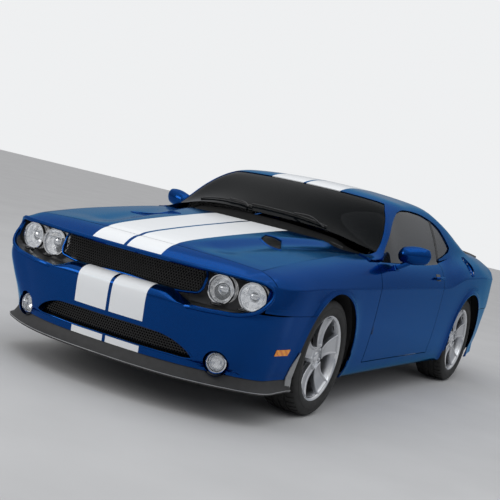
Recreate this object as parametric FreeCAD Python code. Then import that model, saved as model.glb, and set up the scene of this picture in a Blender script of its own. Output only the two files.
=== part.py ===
"""Two-door muscle coupe: body panels, glass, cabin, running gear, doors, lids and wheels as separate solids.

Frame: X to the car's left, Y to its rear, Z up, millimetres.  The origin is on the ground under the middle
of the car's length.  Stations along the car are written s, the distance behind the front axle.
"""
import os
from math import cos, radians, sin

import FreeCAD, Part

V = FreeCAD.Vector
os.makedirs("parts", exist_ok=True)

# ---------------------------------------------------------------- overall sizes
LENGTH = 5023.0
WHEELBASE = 2946.0
FRONT_OVERHANG = 1030.0
TRACK = 1602.0
FRONT_AXLE_Y = FRONT_OVERHANG - LENGTH / 2
TAIL = LENGTH - FRONT_OVERHANG            # station of the rear end

# ---------------------------------------------------------------- clearances
SHUT_GAP = 6.0                            # between panels that move apart
DOOR_FRONT_GAP = 8.0                      # wider, because the door edge swings forward a little
SEAT_GAP = 0.3                            # between pieces that are seated on each other
BEARING_GAP = 0.3                         # radial, wheel hub on its spindle
ROOF_GAP = 8.0                            # roof frame above a door

# ---------------------------------------------------------------- wall thicknesses
FENDER_WALL = 22.0
QUARTER_WALL = 60.0
DOOR_WALL = 125.0
SILL_WALL = 120.0
ROOF_WALL = 42.0
HOOD_WALL = 22.0
LID_WALL = 20.0
FASCIA_WALL = 32.0
GLASS = 6.0
FLOOR_WALL = 20.0
LINER_WALL = 8.0

# ---------------------------------------------------------------- wheels and running gear
WHEEL_RADIUS = 364.0
RIM_RADIUS = 268.0
RIM_WIDTH = 232.0
TYRE_WIDTH = 250.0
AXLE_Z = WHEEL_RADIUS
ARCH_RADIUS = 407.0
LINER_RADIUS = 424.0
SPINDLE_RADIUS = 32.0
HUB_RADIUS = 78.0
HUB_OUT = 66.0                            # hub face outboard of the wheel's middle plane
DISC_RADIUS = 180.0
DISC_THICK = 30.0
DISC_IN = 18.0                            # disc's outer face inboard of the wheel's middle plane
SPOKES = 5
KNUCKLE_IN = 66.0                         # knuckle's outer face inboard of the wheel's middle plane
KNUCKLE_WIDTH = 46.0
KNUCKLE_Z = 215.0                         # underside of the knuckle
ARM_Z = KNUCKLE_Z - 6.0                   # top of the lower arm
STUD_RADIUS = 12.0
STEER_X = TRACK / 2 - KNUCKLE_IN - KNUCKLE_WIDTH / 2

# ---------------------------------------------------------------- doors, lids and their hinges
DOOR_FRONT = 720.0
DOOR_REAR = 2105.0
DOOR_SILL = 300.0
HINGE_X = 930.0
HINGE_SET_BACK = 15.0
HINGE_HEIGHTS = (540.0, 740.0)
PIN_RADIUS = 6.0
HOOD_FRONT = ((900, -729), (0, -850))    # plan arc of the hood's front edge: (x, s) at the side and middle
HOOD_SIDE = 762.0
HEADER_LIP = -985.0
FENDER_TIP = -760.0
HOOD_HINGE_S = 655.0
HOOD_HINGE_Z = 965.0
LID_FRONT = 3150.0
LID_REAR = TAIL - 58
QUARTER_END = 3830.0
LID_HALF_WIDTH = 668.0
LID_BOTTOM = 900.0
LID_FRONT_GAP = 20.0
HOOD_REAR_GAP = 24.0

# Body side at stations along the car.  Each row is a half section, from the sill up to the top edge.
# columns: s, sill x, sill z, bulge x, bulge z, line x, line z, crest x, crest z, top x, top z, middle z
BODY = [
    (-830, 850, 240, 880, 480, 868, 775, 815, 832, 768, 848, 893),
    (-600, 885, 230, 915, 480, 925, 790, 838, 868, 765, 882, 930),
    (-300, 905, 215, 932, 480, 940, 800, 848, 908, 758, 922, 968),
    (0, 912, 200, 940, 480, 946, 806, 852, 938, 752, 955, 1002),
    (500, 908, 190, 935, 470, 941, 812, 856, 980, 766, 996, 1052),
    (1200, 905, 190, 930, 470, 941, 818, 868, 990, 768, 1010, 1060),
    (1960, 910, 190, 938, 470, 948, 828, 862, 1008, 760, 1030, 1060),
    (2300, 916, 195, 947, 475, 955, 838, 850, 1034, 752, 1050, 1072),
    (2600, 922, 203, 954, 484, 960, 905, 832, 1056, 742, 1070, 1084),
    (2946, 925, 215, 955, 490, 961, 916, 806, 1074, 715, 1086, 1098),
    (3500, 905, 250, 935, 500, 944, 918, 762, 1076, 690, 1086, 1096),
    (3830, 850, 290, 880, 520, 895, 905, 735, 1038, 680, 1050, 1062),
    (TAIL, 800, 300, 830, 520, 850, 893, 705, 1012, 660, 1024, 1040),
]
BODY_COLUMNS = ("s", "sill_x", "sill_z", "bulge_x", "bulge_z", "line_x", "line_z",
                "crest_x", "crest_z", "top_x", "top_z", "mid_z")

# Glasshouse at stations along the car: roof rail and roof middle above the crest of BODY.
# columns: s, rail x, rail z, middle z
GLASSHOUSE = [
    (440, 800, 990, 1046),
    (760, 778, 1030, 1200),
    (1200, 668, 1342, 1392),
    (1700, 668, 1386, 1444),
    (2200, 672, 1378, 1414),
    (2500, 722, 1294, 1326),
    (2800, 742, 1198, 1212),
    (3140, 735, 1100, 1112),
]
GLASSHOUSE_COLUMNS = ("s", "rail_x", "rail_z", "mid_z")

# Outlines of the front and rear ends in plan, at heights z.  Each row is a half outline from the middle
# round the corner to the side.
# columns: z, middle s, corner x, corner s, bend x, bend s, side x, side s, end x
NOSE = [
    (150, -985, 540, -915, 730, -835, 885, -620, 915),
    (250, -990, 540, -915, 705, -830, 880, -620, 920),
    (360, -1005, 600, -918, 770, -840, 896, -640, 930),
    (480, -1024, 640, -932, 835, -850, 912, -680, 938),
    (600, -1030, 690, -940, 868, -868, 925, -735, 942),
    (660, -1020, 690, -932, 868, -862, 922, -730, 942),
    (820, -985, 640, -905, 838, -838, 900, -700, 935),
    (920, -985, 640, -905, 838, -838, 900, -700, 935),
]
STERN = [
    (200, TAIL - 50, 560, TAIL - 80, 720, TAIL - 150, 800, TAIL - 300, 880),
    (420, TAIL - 8, 590, TAIL - 40, 770, TAIL - 112, 848, TAIL - 260, 925),
    (560, TAIL, 600, TAIL - 33, 800, TAIL - 105, 884, TAIL - 245, 944),
    (900, TAIL, 600, TAIL - 33, 800, TAIL - 105, 884, TAIL - 245, 944),
    (1100, TAIL - 20, 580, TAIL - 50, 770, TAIL - 120, 856, TAIL - 260, 925),
]
END_COLUMNS = ("z", "mid_s", "corner_x", "corner_s", "bend_x", "bend_s", "side_x", "side_s", "end_x")
NOSE_START = -380.0
STERN_START = TAIL - 720

# Side windows as (s, z) outlines.
DOOR_GLASS = [(835, 985), (1335, 1317), (1600, 1345), (1900, 1335), (2058, 1313), (2080, 985)]
DOOR_GLASS_SWING = [(2030, 972), (2030, 1320), (2090, 1312), (2090, 972)]
QUARTER_GLASS = [(2120, 1037), (2120, 1304), (2260, 1266), (2440, 1128)]

ROOF_END = 3140.0                         # roof frame ends and the trunk opening starts
HOOD_REAR = ((740, 700), (0, 405))        # plan arc of the hood's rear edge: (x, s) at the side and middle
COWL_EDGE = ((770, 745), (0, 560))        # plan arc of the roof frame's front edge, behind the cowl
SCREEN_BASE = ((705, 800), (0, 600))      # plan arc of the windscreen's lower edge
SCREEN_HEAD = ((585, 1262), (0, 1190))    # plan arc of the windscreen's upper edge
BACKLIGHT = (595, 2430, 612, 3085)        # plan: half width and station at the top, then at the bottom

LID_HINGE_X = 570.0
LID_HINGE_S = 3180.0
LID_HINGE_Z = 1078.0
LID_PIN = 5.0
FUEL_S = 2860.0
FUEL_UP = 112.0
FUEL_RADIUS = 80.0
FUEL_GAP = 8.0
FUEL_DEPTH = 38.0
FUEL_SWING = 12.0                         # extra room ahead of the fuel door, where its hinge edge turns in

# ---------------------------------------------------------------- floor
FLOOR_Z = 170.0
TRUNK_FLOOR_Z = 480.0
TUNNEL_HALF = 150.0
TUNNEL_TOP = 380.0
FLOOR_TOP = FLOOR_Z + FLOOR_WALL
TRUNK_FLOOR_TOP = TRUNK_FLOOR_Z + FLOOR_WALL
SHELF_Z = 930.0                           # cowl shelf on the firewall
UPSTAND_HALF = 620.0                      # upstand under the windscreen, short of the opened hood's corners

# ---------------------------------------------------------------- nose openings
CAVITY = [(620, 590), (800, 622), (862, 668), (876, 720), (868, 768), (840, 790)]
INTAKE = [(545, 302), (470, 364), (370, 394)]
FASCIA_BOTTOM = 262.0
FASCIA_SEAM = -600.0                      # joint between fascia and front fender
FASCIA_SEAM_Z = 500.0
GRILLE_SET_BACK = 95.0
LAMPS = ((582, -838, 78), (768, -808, 78))  # headlamps: x, front s, radius
LAMP_Z = 708.0
FOG = (668, 318, 50)                      # x, z, radius
TAIL_LAMP = (800, 715, 868)               # half width, bottom z, top z
BUMPER_TOP = 640.0
HEADER_WALL = 26.0
EXHAUST_X = 560.0                         # middle of each silencer and tail pipe
PLATE_Z = 520.0                           # height of the rear plate's screw holes
PLATE_HOLES = (178.0, 121.0)
JACK_X = 840.0                            # jacking pads under the sills
JACK_S = (640.0, 2300.0)
JACK_Z = 178.0
MIRROR = (1000, 1120, 1064)               # middle of the mirror head: x, s, z
MIRROR_FOOT = (885, 1030, 945)
SEAT_X = 385.0                            # middle of a front seat
SHAFT_Z = 272.0                           # height of the drive shaft


# ---------------------------------------------------------------- helpers
def row_at(table, columns, s):
    """Named values of a table at station s, on a straight line between its rows."""
    below = max((r for r in table if r[0] <= s), key=lambda r: r[0], default=table[0])
    above = min((r for r in table if r[0] >= s), key=lambda r: r[0], default=table[-1])
    share = 0 if below[0] == above[0] else (s - below[0]) / (above[0] - below[0])
    return {name: a + (b - a) * share for name, a, b in zip(columns, below, above)}


def body_at(s):
    return row_at(BODY, BODY_COLUMNS, s)


def glass_at(s):
    return row_at(GLASSHOUSE, GLASSHOUSE_COLUMNS, s)


def stations(table, first, last):
    """The table's stations between two ends, with the ends themselves."""
    return [first] + [r[0] for r in table if first < r[0] < last] + [last]


def at(x, s, z):
    return V(x, s + FRONT_AXLE_Y, z)


def box(x0, x1, s0, s1, z0, z1):
    return Part.makeBox(x1 - x0, s1 - s0, z1 - z0, at(x0, s0, z0))


def mirrored(shape):
    return shape.mirror(V(0, 0, 0), V(1, 0, 0))


def both(shape):
    """A piece and its mirror image as one node of two solids."""
    return Part.makeCompound([shape, mirrored(shape)])


def across(radius, x0, x1, s, z):
    """Cylinder that lies across the car."""
    return Part.makeCylinder(radius, x1 - x0, at(x0, s, z), V(1, 0, 0))


def along(radius, s0, s1, x, z):
    """Cylinder that lies along the car."""
    return Part.makeCylinder(radius, s1 - s0, at(x, s0, z), V(0, 1, 0))


def upright(radius, x, s, z0, z1):
    return Part.makeCylinder(radius, z1 - z0, at(x, s, z0), V(0, 0, 1))


def polygon(points):
    return Part.makePolygon(points + [points[0]])


def side_prism(outline, x0, x1):
    """Outline of (s, z) points pushed across the car."""
    face = Part.Face(polygon([at(x0, s, z) for s, z in outline]))
    return face.extrude(V(x1 - x0, 0, 0))


def plan_prism(outline, z0, z1):
    """Outline of (x, s) points pushed upwards."""
    face = Part.Face(polygon([at(x, s, z0) for x, s in outline]))
    return face.extrude(V(0, 0, z1 - z0))


def front_prism(outline, s0, s1):
    """Outline of (x, z) points pushed along the car."""
    face = Part.Face(polygon([at(x, s0, z) for x, z in outline]))
    return face.extrude(V(0, s1 - s0, 0))


def rounded_box(x0, x1, s0, s1, z0, z1, radius, direction):
    """Box whose edges along one direction (0 x, 1 y, 2 z) are rounded."""
    block = box(x0, x1, s0, s1, z0, z1)
    edges = [e for e in block.Edges if abs(list(e.tangentAt(e.FirstParameter))[direction]) > 0.9]
    return block.makeFillet(radius, edges)


def arc(a, b, c):
    return Part.Arc(a, b, c).toShape()


def line(a, b):
    return Part.LineSegment(a, b).toShape()


def arc_band(front, rear, z0, z1):
    """Plan shape between two arcs across the car, each given as ((x, s) at the side, (0, s) in the middle)."""
    (fx, fs), (_, fm) = front
    (rx, rs), (_, rm) = rear
    wire = Part.Wire([
        arc(at(-fx, fs, z0), at(0, fm, z0), at(fx, fs, z0)),
        line(at(fx, fs, z0), at(rx, rs, z0)),
        arc(at(rx, rs, z0), at(0, rm, z0), at(-rx, rs, z0)),
        line(at(-rx, rs, z0), at(-fx, fs, z0)),
    ])
    return Part.Face(wire).extrude(V(0, 0, z1 - z0))


def end_outline(table, out, inset, z, close_at):
    """Closed plan wire of the nose (out -1) or stern (out 1) at a height, moved in and closed straight across."""
    e = row_at(table, END_COLUMNS, z)
    cx, cs = e["corner_x"] - 0.25 * inset, e["corner_s"] - out * 0.97 * inset
    bx, bs = e["bend_x"] - 0.55 * inset, e["bend_s"] - out * 0.83 * inset
    sx, ss = e["side_x"] - 0.96 * inset, e["side_s"] - out * 0.25 * inset
    ex, ms = e["end_x"] - inset, e["mid_s"] - out * inset
    return Part.Wire([
        arc(at(-cx, cs, z), at(0, ms, z), at(cx, cs, z)),
        arc(at(cx, cs, z), at(bx, bs, z), at(sx, ss, z)),
        line(at(sx, ss, z), at(ex, close_at, z)),
        line(at(ex, close_at, z), at(-ex, close_at, z)),
        line(at(-ex, close_at, z), at(-sx, ss, z)),
        arc(at(-sx, ss, z), at(-bx, bs, z), at(-cx, cs, z)),
    ])


def end_block(table, inset, z0, z1, deeper=0):
    """Solid inside the nose or stern outline between two heights."""
    out, start = (-1, NOSE_START) if table is NOSE else (1, STERN_START)
    close_at = start - out * deeper
    return Part.makeLoft([end_outline(table, out, inset, z, close_at) for z in stations(table, z0, z1)], True, True)


def end_shell(table, inset, wall, z0, z1):
    """Wall that wraps round the nose or stern between two heights, open at the back."""
    return end_block(table, inset, z0, z1).cut(end_block(table, inset + wall, z0 - 1, z1 + 1, 1))


def front_opening(half_outline, s0, s1):
    """Opening seen from the front: a half outline from the bottom edge up, mirrored to the other side."""
    left = [(-x, z) for x, z in half_outline[::-1]]
    return front_prism(half_outline + left, s0, s1)


def side_wall(first, last, wall, top="top"):
    """Left body side between two stations, from the sill to its top edge, as a loft of straight lines."""
    sections = []
    for s in stations(BODY, first, last):
        b = body_at(s)
        outer = [(b["sill_x"], b["sill_z"]), (b["bulge_x"], b["bulge_z"]), (b["line_x"], b["line_z"]),
                 (b["crest_x"], b["crest_z"])]
        inner = [(b["sill_x"] - wall, b["sill_z"]), (b["bulge_x"] - wall, b["bulge_z"]),
                 (b["line_x"] - wall, b["line_z"] - 0.4 * wall), (b["crest_x"] - wall, b["crest_z"] - 0.3 * wall)]
        if top == "top":
            outer.append((b["top_x"], b["top_z"]))
            inner[-1] = (b["crest_x"] - 0.5 * wall, b["crest_z"] - wall)
            inner.append((b["top_x"], b["top_z"] - wall))
        sections.append(polygon([at(x, s, z) for x, z in outer + inner[::-1]]))
    return Part.makeLoft(sections, True, True)


def crowned_panel(first, last, wall, half_width, edge_gap):
    """Panel across the car between two stations, with an arched upper face that follows BODY's top columns."""
    wires = []
    for s in stations(BODY, first, last):
        b = body_at(s)
        x = min(b["top_x"] - edge_gap, half_width)
        wires.append(Part.Wire([
            arc(at(-x, s, b["top_z"]), at(0, s, b["mid_z"]), at(x, s, b["top_z"])),
            line(at(x, s, b["top_z"]), at(x, s, b["top_z"] - wall)),
            arc(at(x, s, b["top_z"] - wall), at(0, s, b["mid_z"] - wall), at(-x, s, b["top_z"] - wall)),
            line(at(-x, s, b["top_z"] - wall), at(-x, s, b["top_z"])),
        ]))
    return Part.makeLoft(wires, True, True)


def glasshouse(inset, drop):
    """Solid under the roof and windows, moved in by inset, with its foot lowered by drop."""
    wires = []
    first, last = GLASSHOUSE[0][0], GLASSHOUSE[-1][0]
    for s in sorted(set(stations(GLASSHOUSE, first, last) + stations(BODY, first, last))):
        b, g = body_at(s), glass_at(s)
        belt = (b["crest_x"] - 2 - inset, b["crest_z"] + SEAT_GAP - drop)
        rail = (g["rail_x"] - inset, g["rail_z"] - inset)
        mid_z = g["mid_z"]
        wires.append(Part.Wire([
            line(at(-belt[0], s, belt[1]), at(-rail[0], s, rail[1])),
            arc(at(-rail[0], s, rail[1]), at(0, s, mid_z - inset), at(rail[0], s, rail[1])),
            line(at(rail[0], s, rail[1]), at(belt[0], s, belt[1])),
            line(at(belt[0], s, belt[1]), at(-belt[0], s, belt[1])),
        ]))
    return Part.makeLoft(wires, True, True)


def save(name, shape):
    solids = shape.Solids
    if not solids:
        raise ValueError(name + " has no solid")
    kept = solids[0] if len(solids) == 1 else Part.makeCompound(solids)
    kept.exportStep("parts/" + name + ".step")


# ---------------------------------------------------------------- arches, shared by panels and liners
def arch_cut(radius, s):
    return across(radius, -1100, 1100, s, AXLE_Z + 6)


ARCHES = [arch_cut(ARCH_RADIUS, 0), arch_cut(ARCH_RADIUS, WHEELBASE)]


# ---------------------------------------------------------------- outer panels
def crown(last, drop):
    """Solid under the arched top of the nose, from ahead of its lip back to a station."""
    wires = []
    for s, side_z, mid_z in ((-1060, 800, 770), (HEADER_LIP, 806, 812), (-840, 812, 895), (last, 846, 915)):
        wires.append(Part.Wire([
            arc(at(-900, s, side_z - drop), at(0, s, mid_z - drop), at(900, s, side_z - drop)),
            line(at(900, s, side_z - drop), at(900, s, 500)),
            line(at(900, s, 500), at(-900, s, 500)),
            line(at(-900, s, 500), at(-900, s, side_z - drop)),
        ]))
    return Part.makeLoft(wires, True, True)


def front_fascia():
    """Bumper skin with the header over the lamps, the lamp recess, the lower intake and the fog lamp holes."""
    shell = end_shell(NOSE, 0, FASCIA_WALL, FASCIA_BOTTOM, 795)
    shell = shell.cut(box(-1100, 1100, FASCIA_SEAM, -300, FASCIA_SEAM_Z, 900))
    shell = shell.cut(front_opening(CAVITY, -1200, -640))
    shell = shell.cut(front_opening(INTAKE, -1200, -780))
    header = crown(-700, 0).cut(crown(-699, HEADER_WALL)).common(end_block(NOSE, 0, 785, 919))
    seam = arc_band(HOOD_FRONT, ((1100, -300), (0, -299)), 700, 1200).translated(V(0, -SHUT_GAP, 0))
    header = header.cut(seam)
    for side in (1, -1):
        low, high = sorted((side * (HOOD_SIDE + SHUT_GAP), side * 1100))
        header = header.cut(box(low, high, FENDER_TIP - SEAT_GAP, -300, 700, 1200))
    shell = shell.fuse(max(header.Solids, key=lambda p: p.Volume))
    for side in (1, -1):
        shell = shell.cut(along(FOG[2] + SEAT_GAP, -1000, -700, side * FOG[0], FOG[1]))
    return shell.cut(ARCHES[0])


def fender():
    """Side of the nose from the header back to the door, with the arch and the corner beside the hood."""
    wall = side_wall(FASCIA_SEAM + SEAT_GAP, DOOR_FRONT - DOOR_FRONT_GAP, FENDER_WALL)
    wall = wall.cut(ARCHES[0])
    wall = wall.cut(box(700, 1000, -700, 1000, 100, DOOR_SILL - SHUT_GAP))
    wall = wall.cut(box(700, 1000, -700, -200, 100, FASCIA_SEAM_Z + SEAT_GAP))
    corner = side_wall(FENDER_TIP, FASCIA_SEAM + SEAT_GAP, FENDER_WALL)
    corner = corner.common(box(700, 1000, FENDER_TIP, 0, 797, 1000))
    return wall.fuse(corner).removeSplitter()


def hood():
    panel = crowned_panel(-870, 760, HOOD_WALL, 900, SHUT_GAP)
    keep = arc_band(HOOD_FRONT, HOOD_REAR, 700, 1200)
    panel = panel.common(keep)
    above = panel.translated(V(0, 0, HOOD_WALL - 2))
    lugs = [hood_lug(), mirrored(hood_lug())]
    for lug in lugs:
        panel = panel.fuse(max(lug.cut(above).Solids, key=lambda p: p.Volume))
    return panel.removeSplitter()


def door_blank(grow=0.0):
    return side_wall(DOOR_FRONT - grow, DOOR_REAR + grow, DOOR_WALL, "crest")


def door():
    blank = door_blank().common(box(700, 1000, 400, 2300, DOOR_SILL, 1100))
    tail = body_at(DOOR_REAR)["line_x"]
    rear_taper = plan_prism([(tail - DOOR_WALL - 60, DOOR_REAR - 30), (tail - 35, DOOR_REAR + 1),
                             (tail - DOOR_WALL - 60, DOOR_REAR + 1)], 100, 1200)
    blank = blank.cut(rear_taper)
    for z in HINGE_HEIGHTS:
        blank = blank.cut(box(HINGE_X - 200, HINGE_X + 3, DOOR_FRONT - 50, DOOR_FRONT + 35, z - 30, z + 30))
        blank = blank.cut(upright(PIN_RADIUS + BEARING_GAP, HINGE_X, DOOR_FRONT + HINGE_SET_BACK, z - 46, z + 46))
    return blank


def quarter_panel():
    """Rear side of the body: below the roof frame as far as the trunk, then up to the deck beside the lid."""
    wall = side_wall(DOOR_REAR + SHUT_GAP, ROOF_END, QUARTER_WALL, "crest")
    wall = wall.fuse(side_wall(ROOF_END, QUARTER_END, QUARTER_WALL)).removeSplitter()
    wall = wall.cut(ARCHES[1])
    wall = wall.cut(box(600, 1000, 1900, WHEELBASE, 100, DOOR_SILL - SHUT_GAP))
    return wall.cut(box(600, 1000, WHEELBASE, 4000, 100, BUMPER_TOP + SEAT_GAP))


def rear_bumper():
    strip = end_shell(STERN, 0, FASCIA_WALL, 240, BUMPER_TOP).cut(ARCHES[1])
    for side in (1, -1):
        strip = strip.cut(rounded_box(side * EXHAUST_X - 95, side * EXHAUST_X + 95, TAIL - 200, TAIL + 10,
                                      180, 350, 30, 1))
    plate_floor = TAIL - FASCIA_WALL + 12
    strip = strip.cut(box(-170, 170, plate_floor, TAIL + 10, PLATE_Z - 85, PLATE_Z + 85))
    for x in (-PLATE_HOLES[0] / 2, PLATE_HOLES[0] / 2):
        for z in (-PLATE_HOLES[1] / 2, PLATE_HOLES[1] / 2):
            strip = strip.cut(along(3.5, TAIL - 100, TAIL + 10, x, PLATE_Z + z))
    return strip


def tail_panel():
    """Panel round the tail above the bumper, with the lamp opening and the lower edge of the trunk opening."""
    start = QUARTER_END + SEAT_GAP
    strip = end_shell(STERN, 0, FASCIA_WALL, BUMPER_TOP + SEAT_GAP, 1020)
    strip = strip.common(box(-1000, 1000, start, TAIL + 10, 600, 1100))
    half = LID_HALF_WIDTH + SHUT_GAP
    strip = strip.cut(box(-half, half, 3700, TAIL + 10, LID_BOTTOM - SHUT_GAP, 1200))
    half, low, high = TAIL_LAMP
    return strip.cut(rounded_box(-half, half, QUARTER_END + 15, TAIL + 10, low, high, 30, 1))


def tail_lamps():
    half, low, high = TAIL_LAMP
    half, low, high = half - SEAT_GAP, low + SEAT_GAP, high - SEAT_GAP
    strip = end_shell(STERN, 6, FASCIA_WALL - 6, low, high)
    return strip.common(rounded_box(-half, half, QUARTER_END + 16, TAIL + 10, low, high, 30, 1))


def trunk_lid():
    top = crowned_panel(LID_FRONT + LID_FRONT_GAP, LID_REAR - 30, LID_WALL, LID_HALF_WIDTH, 0)
    x = LID_HALF_WIDTH
    face = box(-x, x, LID_REAR - 30, LID_REAR, LID_BOTTOM, 1000)
    rim = crowned_panel(LID_REAR - 30, LID_REAR, 60, LID_HALF_WIDTH, 0)
    shape = top.fuse(rim).fuse(face)
    return shape.cut(lid_notch()).cut(mirrored(lid_notch())).removeSplitter()


def rear_spoiler():
    """Blade over the lid's rear edge on three feet, its ends curved down to the lid."""
    s = LID_REAR
    middle = [(s - 190, 1082), (s - 120, 1094), (s - 2, 1104), (s + 26, 1101), (s - 4, 1087), (s - 130, 1080)]
    tip = [(s - 190, 1073), (s - 120, 1079), (s - 2, 1068), (s + 26, 1064), (s - 4, 1052), (s - 130, 1068)]
    shape = side_prism(middle, -450, 450)
    for side in (1, -1):
        sections = [polygon([at(side * 450, *p) for p in middle]), polygon([at(side * 655, *p) for p in tip])]
        shape = shape.fuse(Part.makeLoft(sections, True, True))
    lid = trunk_lid().translated(V(0, 0, SEAT_GAP))
    for x in (-420, 0, 420):
        post = box(x - 22, x + 22, s - 110, s - 50, 1010, 1090).cut(lid)
        shape = shape.fuse(max(post.Solids, key=lambda p: p.CenterOfMass.z))
    return shape.removeSplitter()


def sills():
    """Rocker sills with the flat pads that a jack lifts on."""
    wall = side_wall(ARCH_RADIUS + 14, WHEELBASE - ARCH_RADIUS - 14, SILL_WALL)
    shape = wall.common(box(700, 1000, 300, 2700, 150, DOOR_SILL - SHUT_GAP - SEAT_GAP))
    for s in JACK_S:
        shape = shape.fuse(box(JACK_X - 30, JACK_X + 30, s - 50, s + 50, JACK_Z, 230))
    return both(shape)


def splitter():
    """Chin blade with the air dam above it."""
    blade = end_block(NOSE, -14, 185, 205).cut(end_block(NOSE, 150, 184, 206, 1))
    dam = end_shell(NOSE, 6, 40, 204, FASCIA_BOTTOM - SEAT_GAP)
    return blade.fuse(dam).cut(ARCHES[0])


# ---------------------------------------------------------------- roof and glass
def hood_clearance():
    """Room ahead of the roof frame for the hood, the cowl and the rear edges of the fenders."""
    middle = arc_band(((770, -200), (0, -201)), COWL_EDGE, 700, 1400)
    edge = DOOR_FRONT - DOOR_FRONT_GAP + SHUT_GAP
    sides = box(700, 1100, -200, edge, 700, 1400).fuse(box(-1100, -700, -200, edge, 700, 1400))
    return middle.fuse(sides)


def screen_prism(grow):
    (bx, bs), (_, bm) = SCREEN_BASE
    (hx, hs), (_, hm) = SCREEN_HEAD
    return arc_band(((bx + grow, bs - grow), (0, bm - grow)), ((hx + grow, hs + grow), (0, hm + grow)), 950, 1500)


def backlight_prism(grow):
    tx, ts, bx, bs = BACKLIGHT
    outline = [(-tx - grow, ts - grow), (tx + grow, ts - grow), (bx + grow, bs + grow), (-bx - grow, bs + grow)]
    return plan_prism(outline, 950, 1500)


def grown(outline, amount):
    """A clockwise (s, z) outline with every edge moved outwards by an amount."""
    corners = []
    for k, (s, z) in enumerate(outline):
        before, after = outline[k - 1], outline[(k + 1) % len(outline)]
        n0 = V(z * -1 + before[1], s - before[0], 0).normalize()
        n1 = V(z - after[1], after[0] - s, 0).normalize()
        miter = (n0 + n1) * (amount / (1 + n0.dot(n1)))
        corners.append((s + miter.x, z + miter.y))
    return corners


def roof_frame():
    shell = glasshouse(0, 0).cut(glasshouse(ROOF_WALL, 60))
    shell = shell.cut(screen_prism(0)).cut(backlight_prism(0)).cut(hood_clearance())
    shell = shell.cut(side_prism(grown(DOOR_GLASS, SHUT_GAP), -1000, 1000))
    shell = shell.cut(side_prism(DOOR_GLASS_SWING, -1000, 1000))
    shell = shell.cut(side_prism(QUARTER_GLASS, -1000, 1000))
    first, last = 600, DOOR_REAR + SHUT_GAP
    door_top = [(s, body_at(s)["crest_z"] + ROOF_GAP) for s in stations(BODY, first, last)]
    outline = [(first, 900)] + door_top + [(last, 900)]
    shell = shell.cut(side_prism(outline, -1000, 1000))
    return max(shell.Solids, key=lambda s: s.Volume)


def glass_skin():
    return glasshouse(1.5, 2).cut(glasshouse(1.5 + GLASS, 60))


def windscreen(skin):
    return skin.common(screen_prism(-SEAT_GAP))


def backlight(skin):
    return skin.common(backlight_prism(-SEAT_GAP))


def door_glass(skin):
    pane = skin.common(side_prism(DOOR_GLASS, 400, 1000))
    belt = [(s, body_at(s)["crest_z"] - 0.75) for s in stations(BODY, 760, DOOR_REAR)]
    outline = [(760, 900)] + belt + [(DOOR_REAR, 900)]
    return pane.cut(side_prism(outline, 400, 1000))


def quarter_glass(skin):
    return both(skin.common(side_prism(grown(QUARTER_GLASS, -SEAT_GAP), 400, 1000)))


# ---------------------------------------------------------------- mirrors, lamps, grilles


def door_mirror():
    """Mirror head on an arm from a foot on the door's shoulder."""
    x, s, z = MIRROR
    fx, fs, fz = MIRROR_FOOT
    head = rounded_box(x - 86, x + 86, s - 48, s + 42, z - 60, z + 60, 34, 1)
    direction = at(x - 60, s, z - 20) - at(fx, fs, fz)
    arm = Part.makeCylinder(15, direction.Length, at(fx, fs, fz), direction)
    foot = Part.makeCylinder(34, 40, at(fx - 8, fs, fz - 10), V(0.74, 0, 0.67))
    shape = head.fuse(arm).fuse(foot)
    door_side = door_blank().translated(V(SEAT_GAP, 0, SEAT_GAP))
    shape = shape.cut(door_side)
    return max(shape.Solids, key=lambda p: p.Volume)


def headlamps():
    lamps = [along(radius, front, front + 110, x, LAMP_Z) for x, front, radius in LAMPS]
    return Part.makeCompound(lamps + [mirrored(p) for p in lamps])


def fog_lamps():
    x, z, radius = FOG
    return both(along(radius, -905, -820, x, z).common(end_block(NOSE, 14, 200, 600)))


def grilles():
    """Back wall of the lamp recess with the lamps' holes and its floor, and the mesh panel of the lower intake."""
    wall = end_shell(NOSE, GRILLE_SET_BACK, 16, 572, 800).common(front_opening(
        [(640, 576), (815, 606), (880, 660), (892, 720), (884, 778), (850, 784)], -1200, -700))
    for x, _, radius in LAMPS:
        for side in (1, -1):
            wall = wall.cut(along(radius + SEAT_GAP, -1000, -500, side * x, LAMP_Z))
    floor = end_shell(NOSE, FASCIA_WALL + SEAT_GAP, GRILLE_SET_BACK - FASCIA_WALL, 572, 584)
    upper = wall.fuse(floor.common(box(-800, 800, -1200, -740, 500, 700))).removeSplitter()
    lower = end_shell(NOSE, FASCIA_WALL + SEAT_GAP, 14, 285, 410).common(front_opening(
        [(560, 288), (486, 374), (376, 408)], -1200, -780))
    return Part.makeCompound([max(upper.Solids, key=lambda p: p.Volume), max(lower.Solids, key=lambda p: p.Volume)])


# ---------------------------------------------------------------- floor, firewall, cabin
def floor_pan():
    """Cabin floor with its tunnel, the ramp under the rear seat and the trunk floor."""
    t = FLOOR_WALL
    bottom, trunk = FLOOR_Z, TRUNK_FLOOR_Z
    profile = [(585, bottom), (2240, bottom), (2500, trunk), (3870, trunk), (3870, trunk + t), (2490, trunk + t),
               (2230, bottom + t), (585, bottom + t)]
    pan = side_prism(profile, -610, 610)
    wide = box(-780, 780, 585, 2240, bottom, bottom + t)
    tunnel = box(-TUNNEL_HALF, TUNNEL_HALF, 585, 2415, bottom, TUNNEL_TOP)
    hollow = box(-TUNNEL_HALF + 20, TUNNEL_HALF - 20, 580, 2440, bottom - 10, TUNNEL_TOP - 18)
    return pan.fuse(wide).fuse(tunnel).cut(hollow).removeSplitter()


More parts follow.
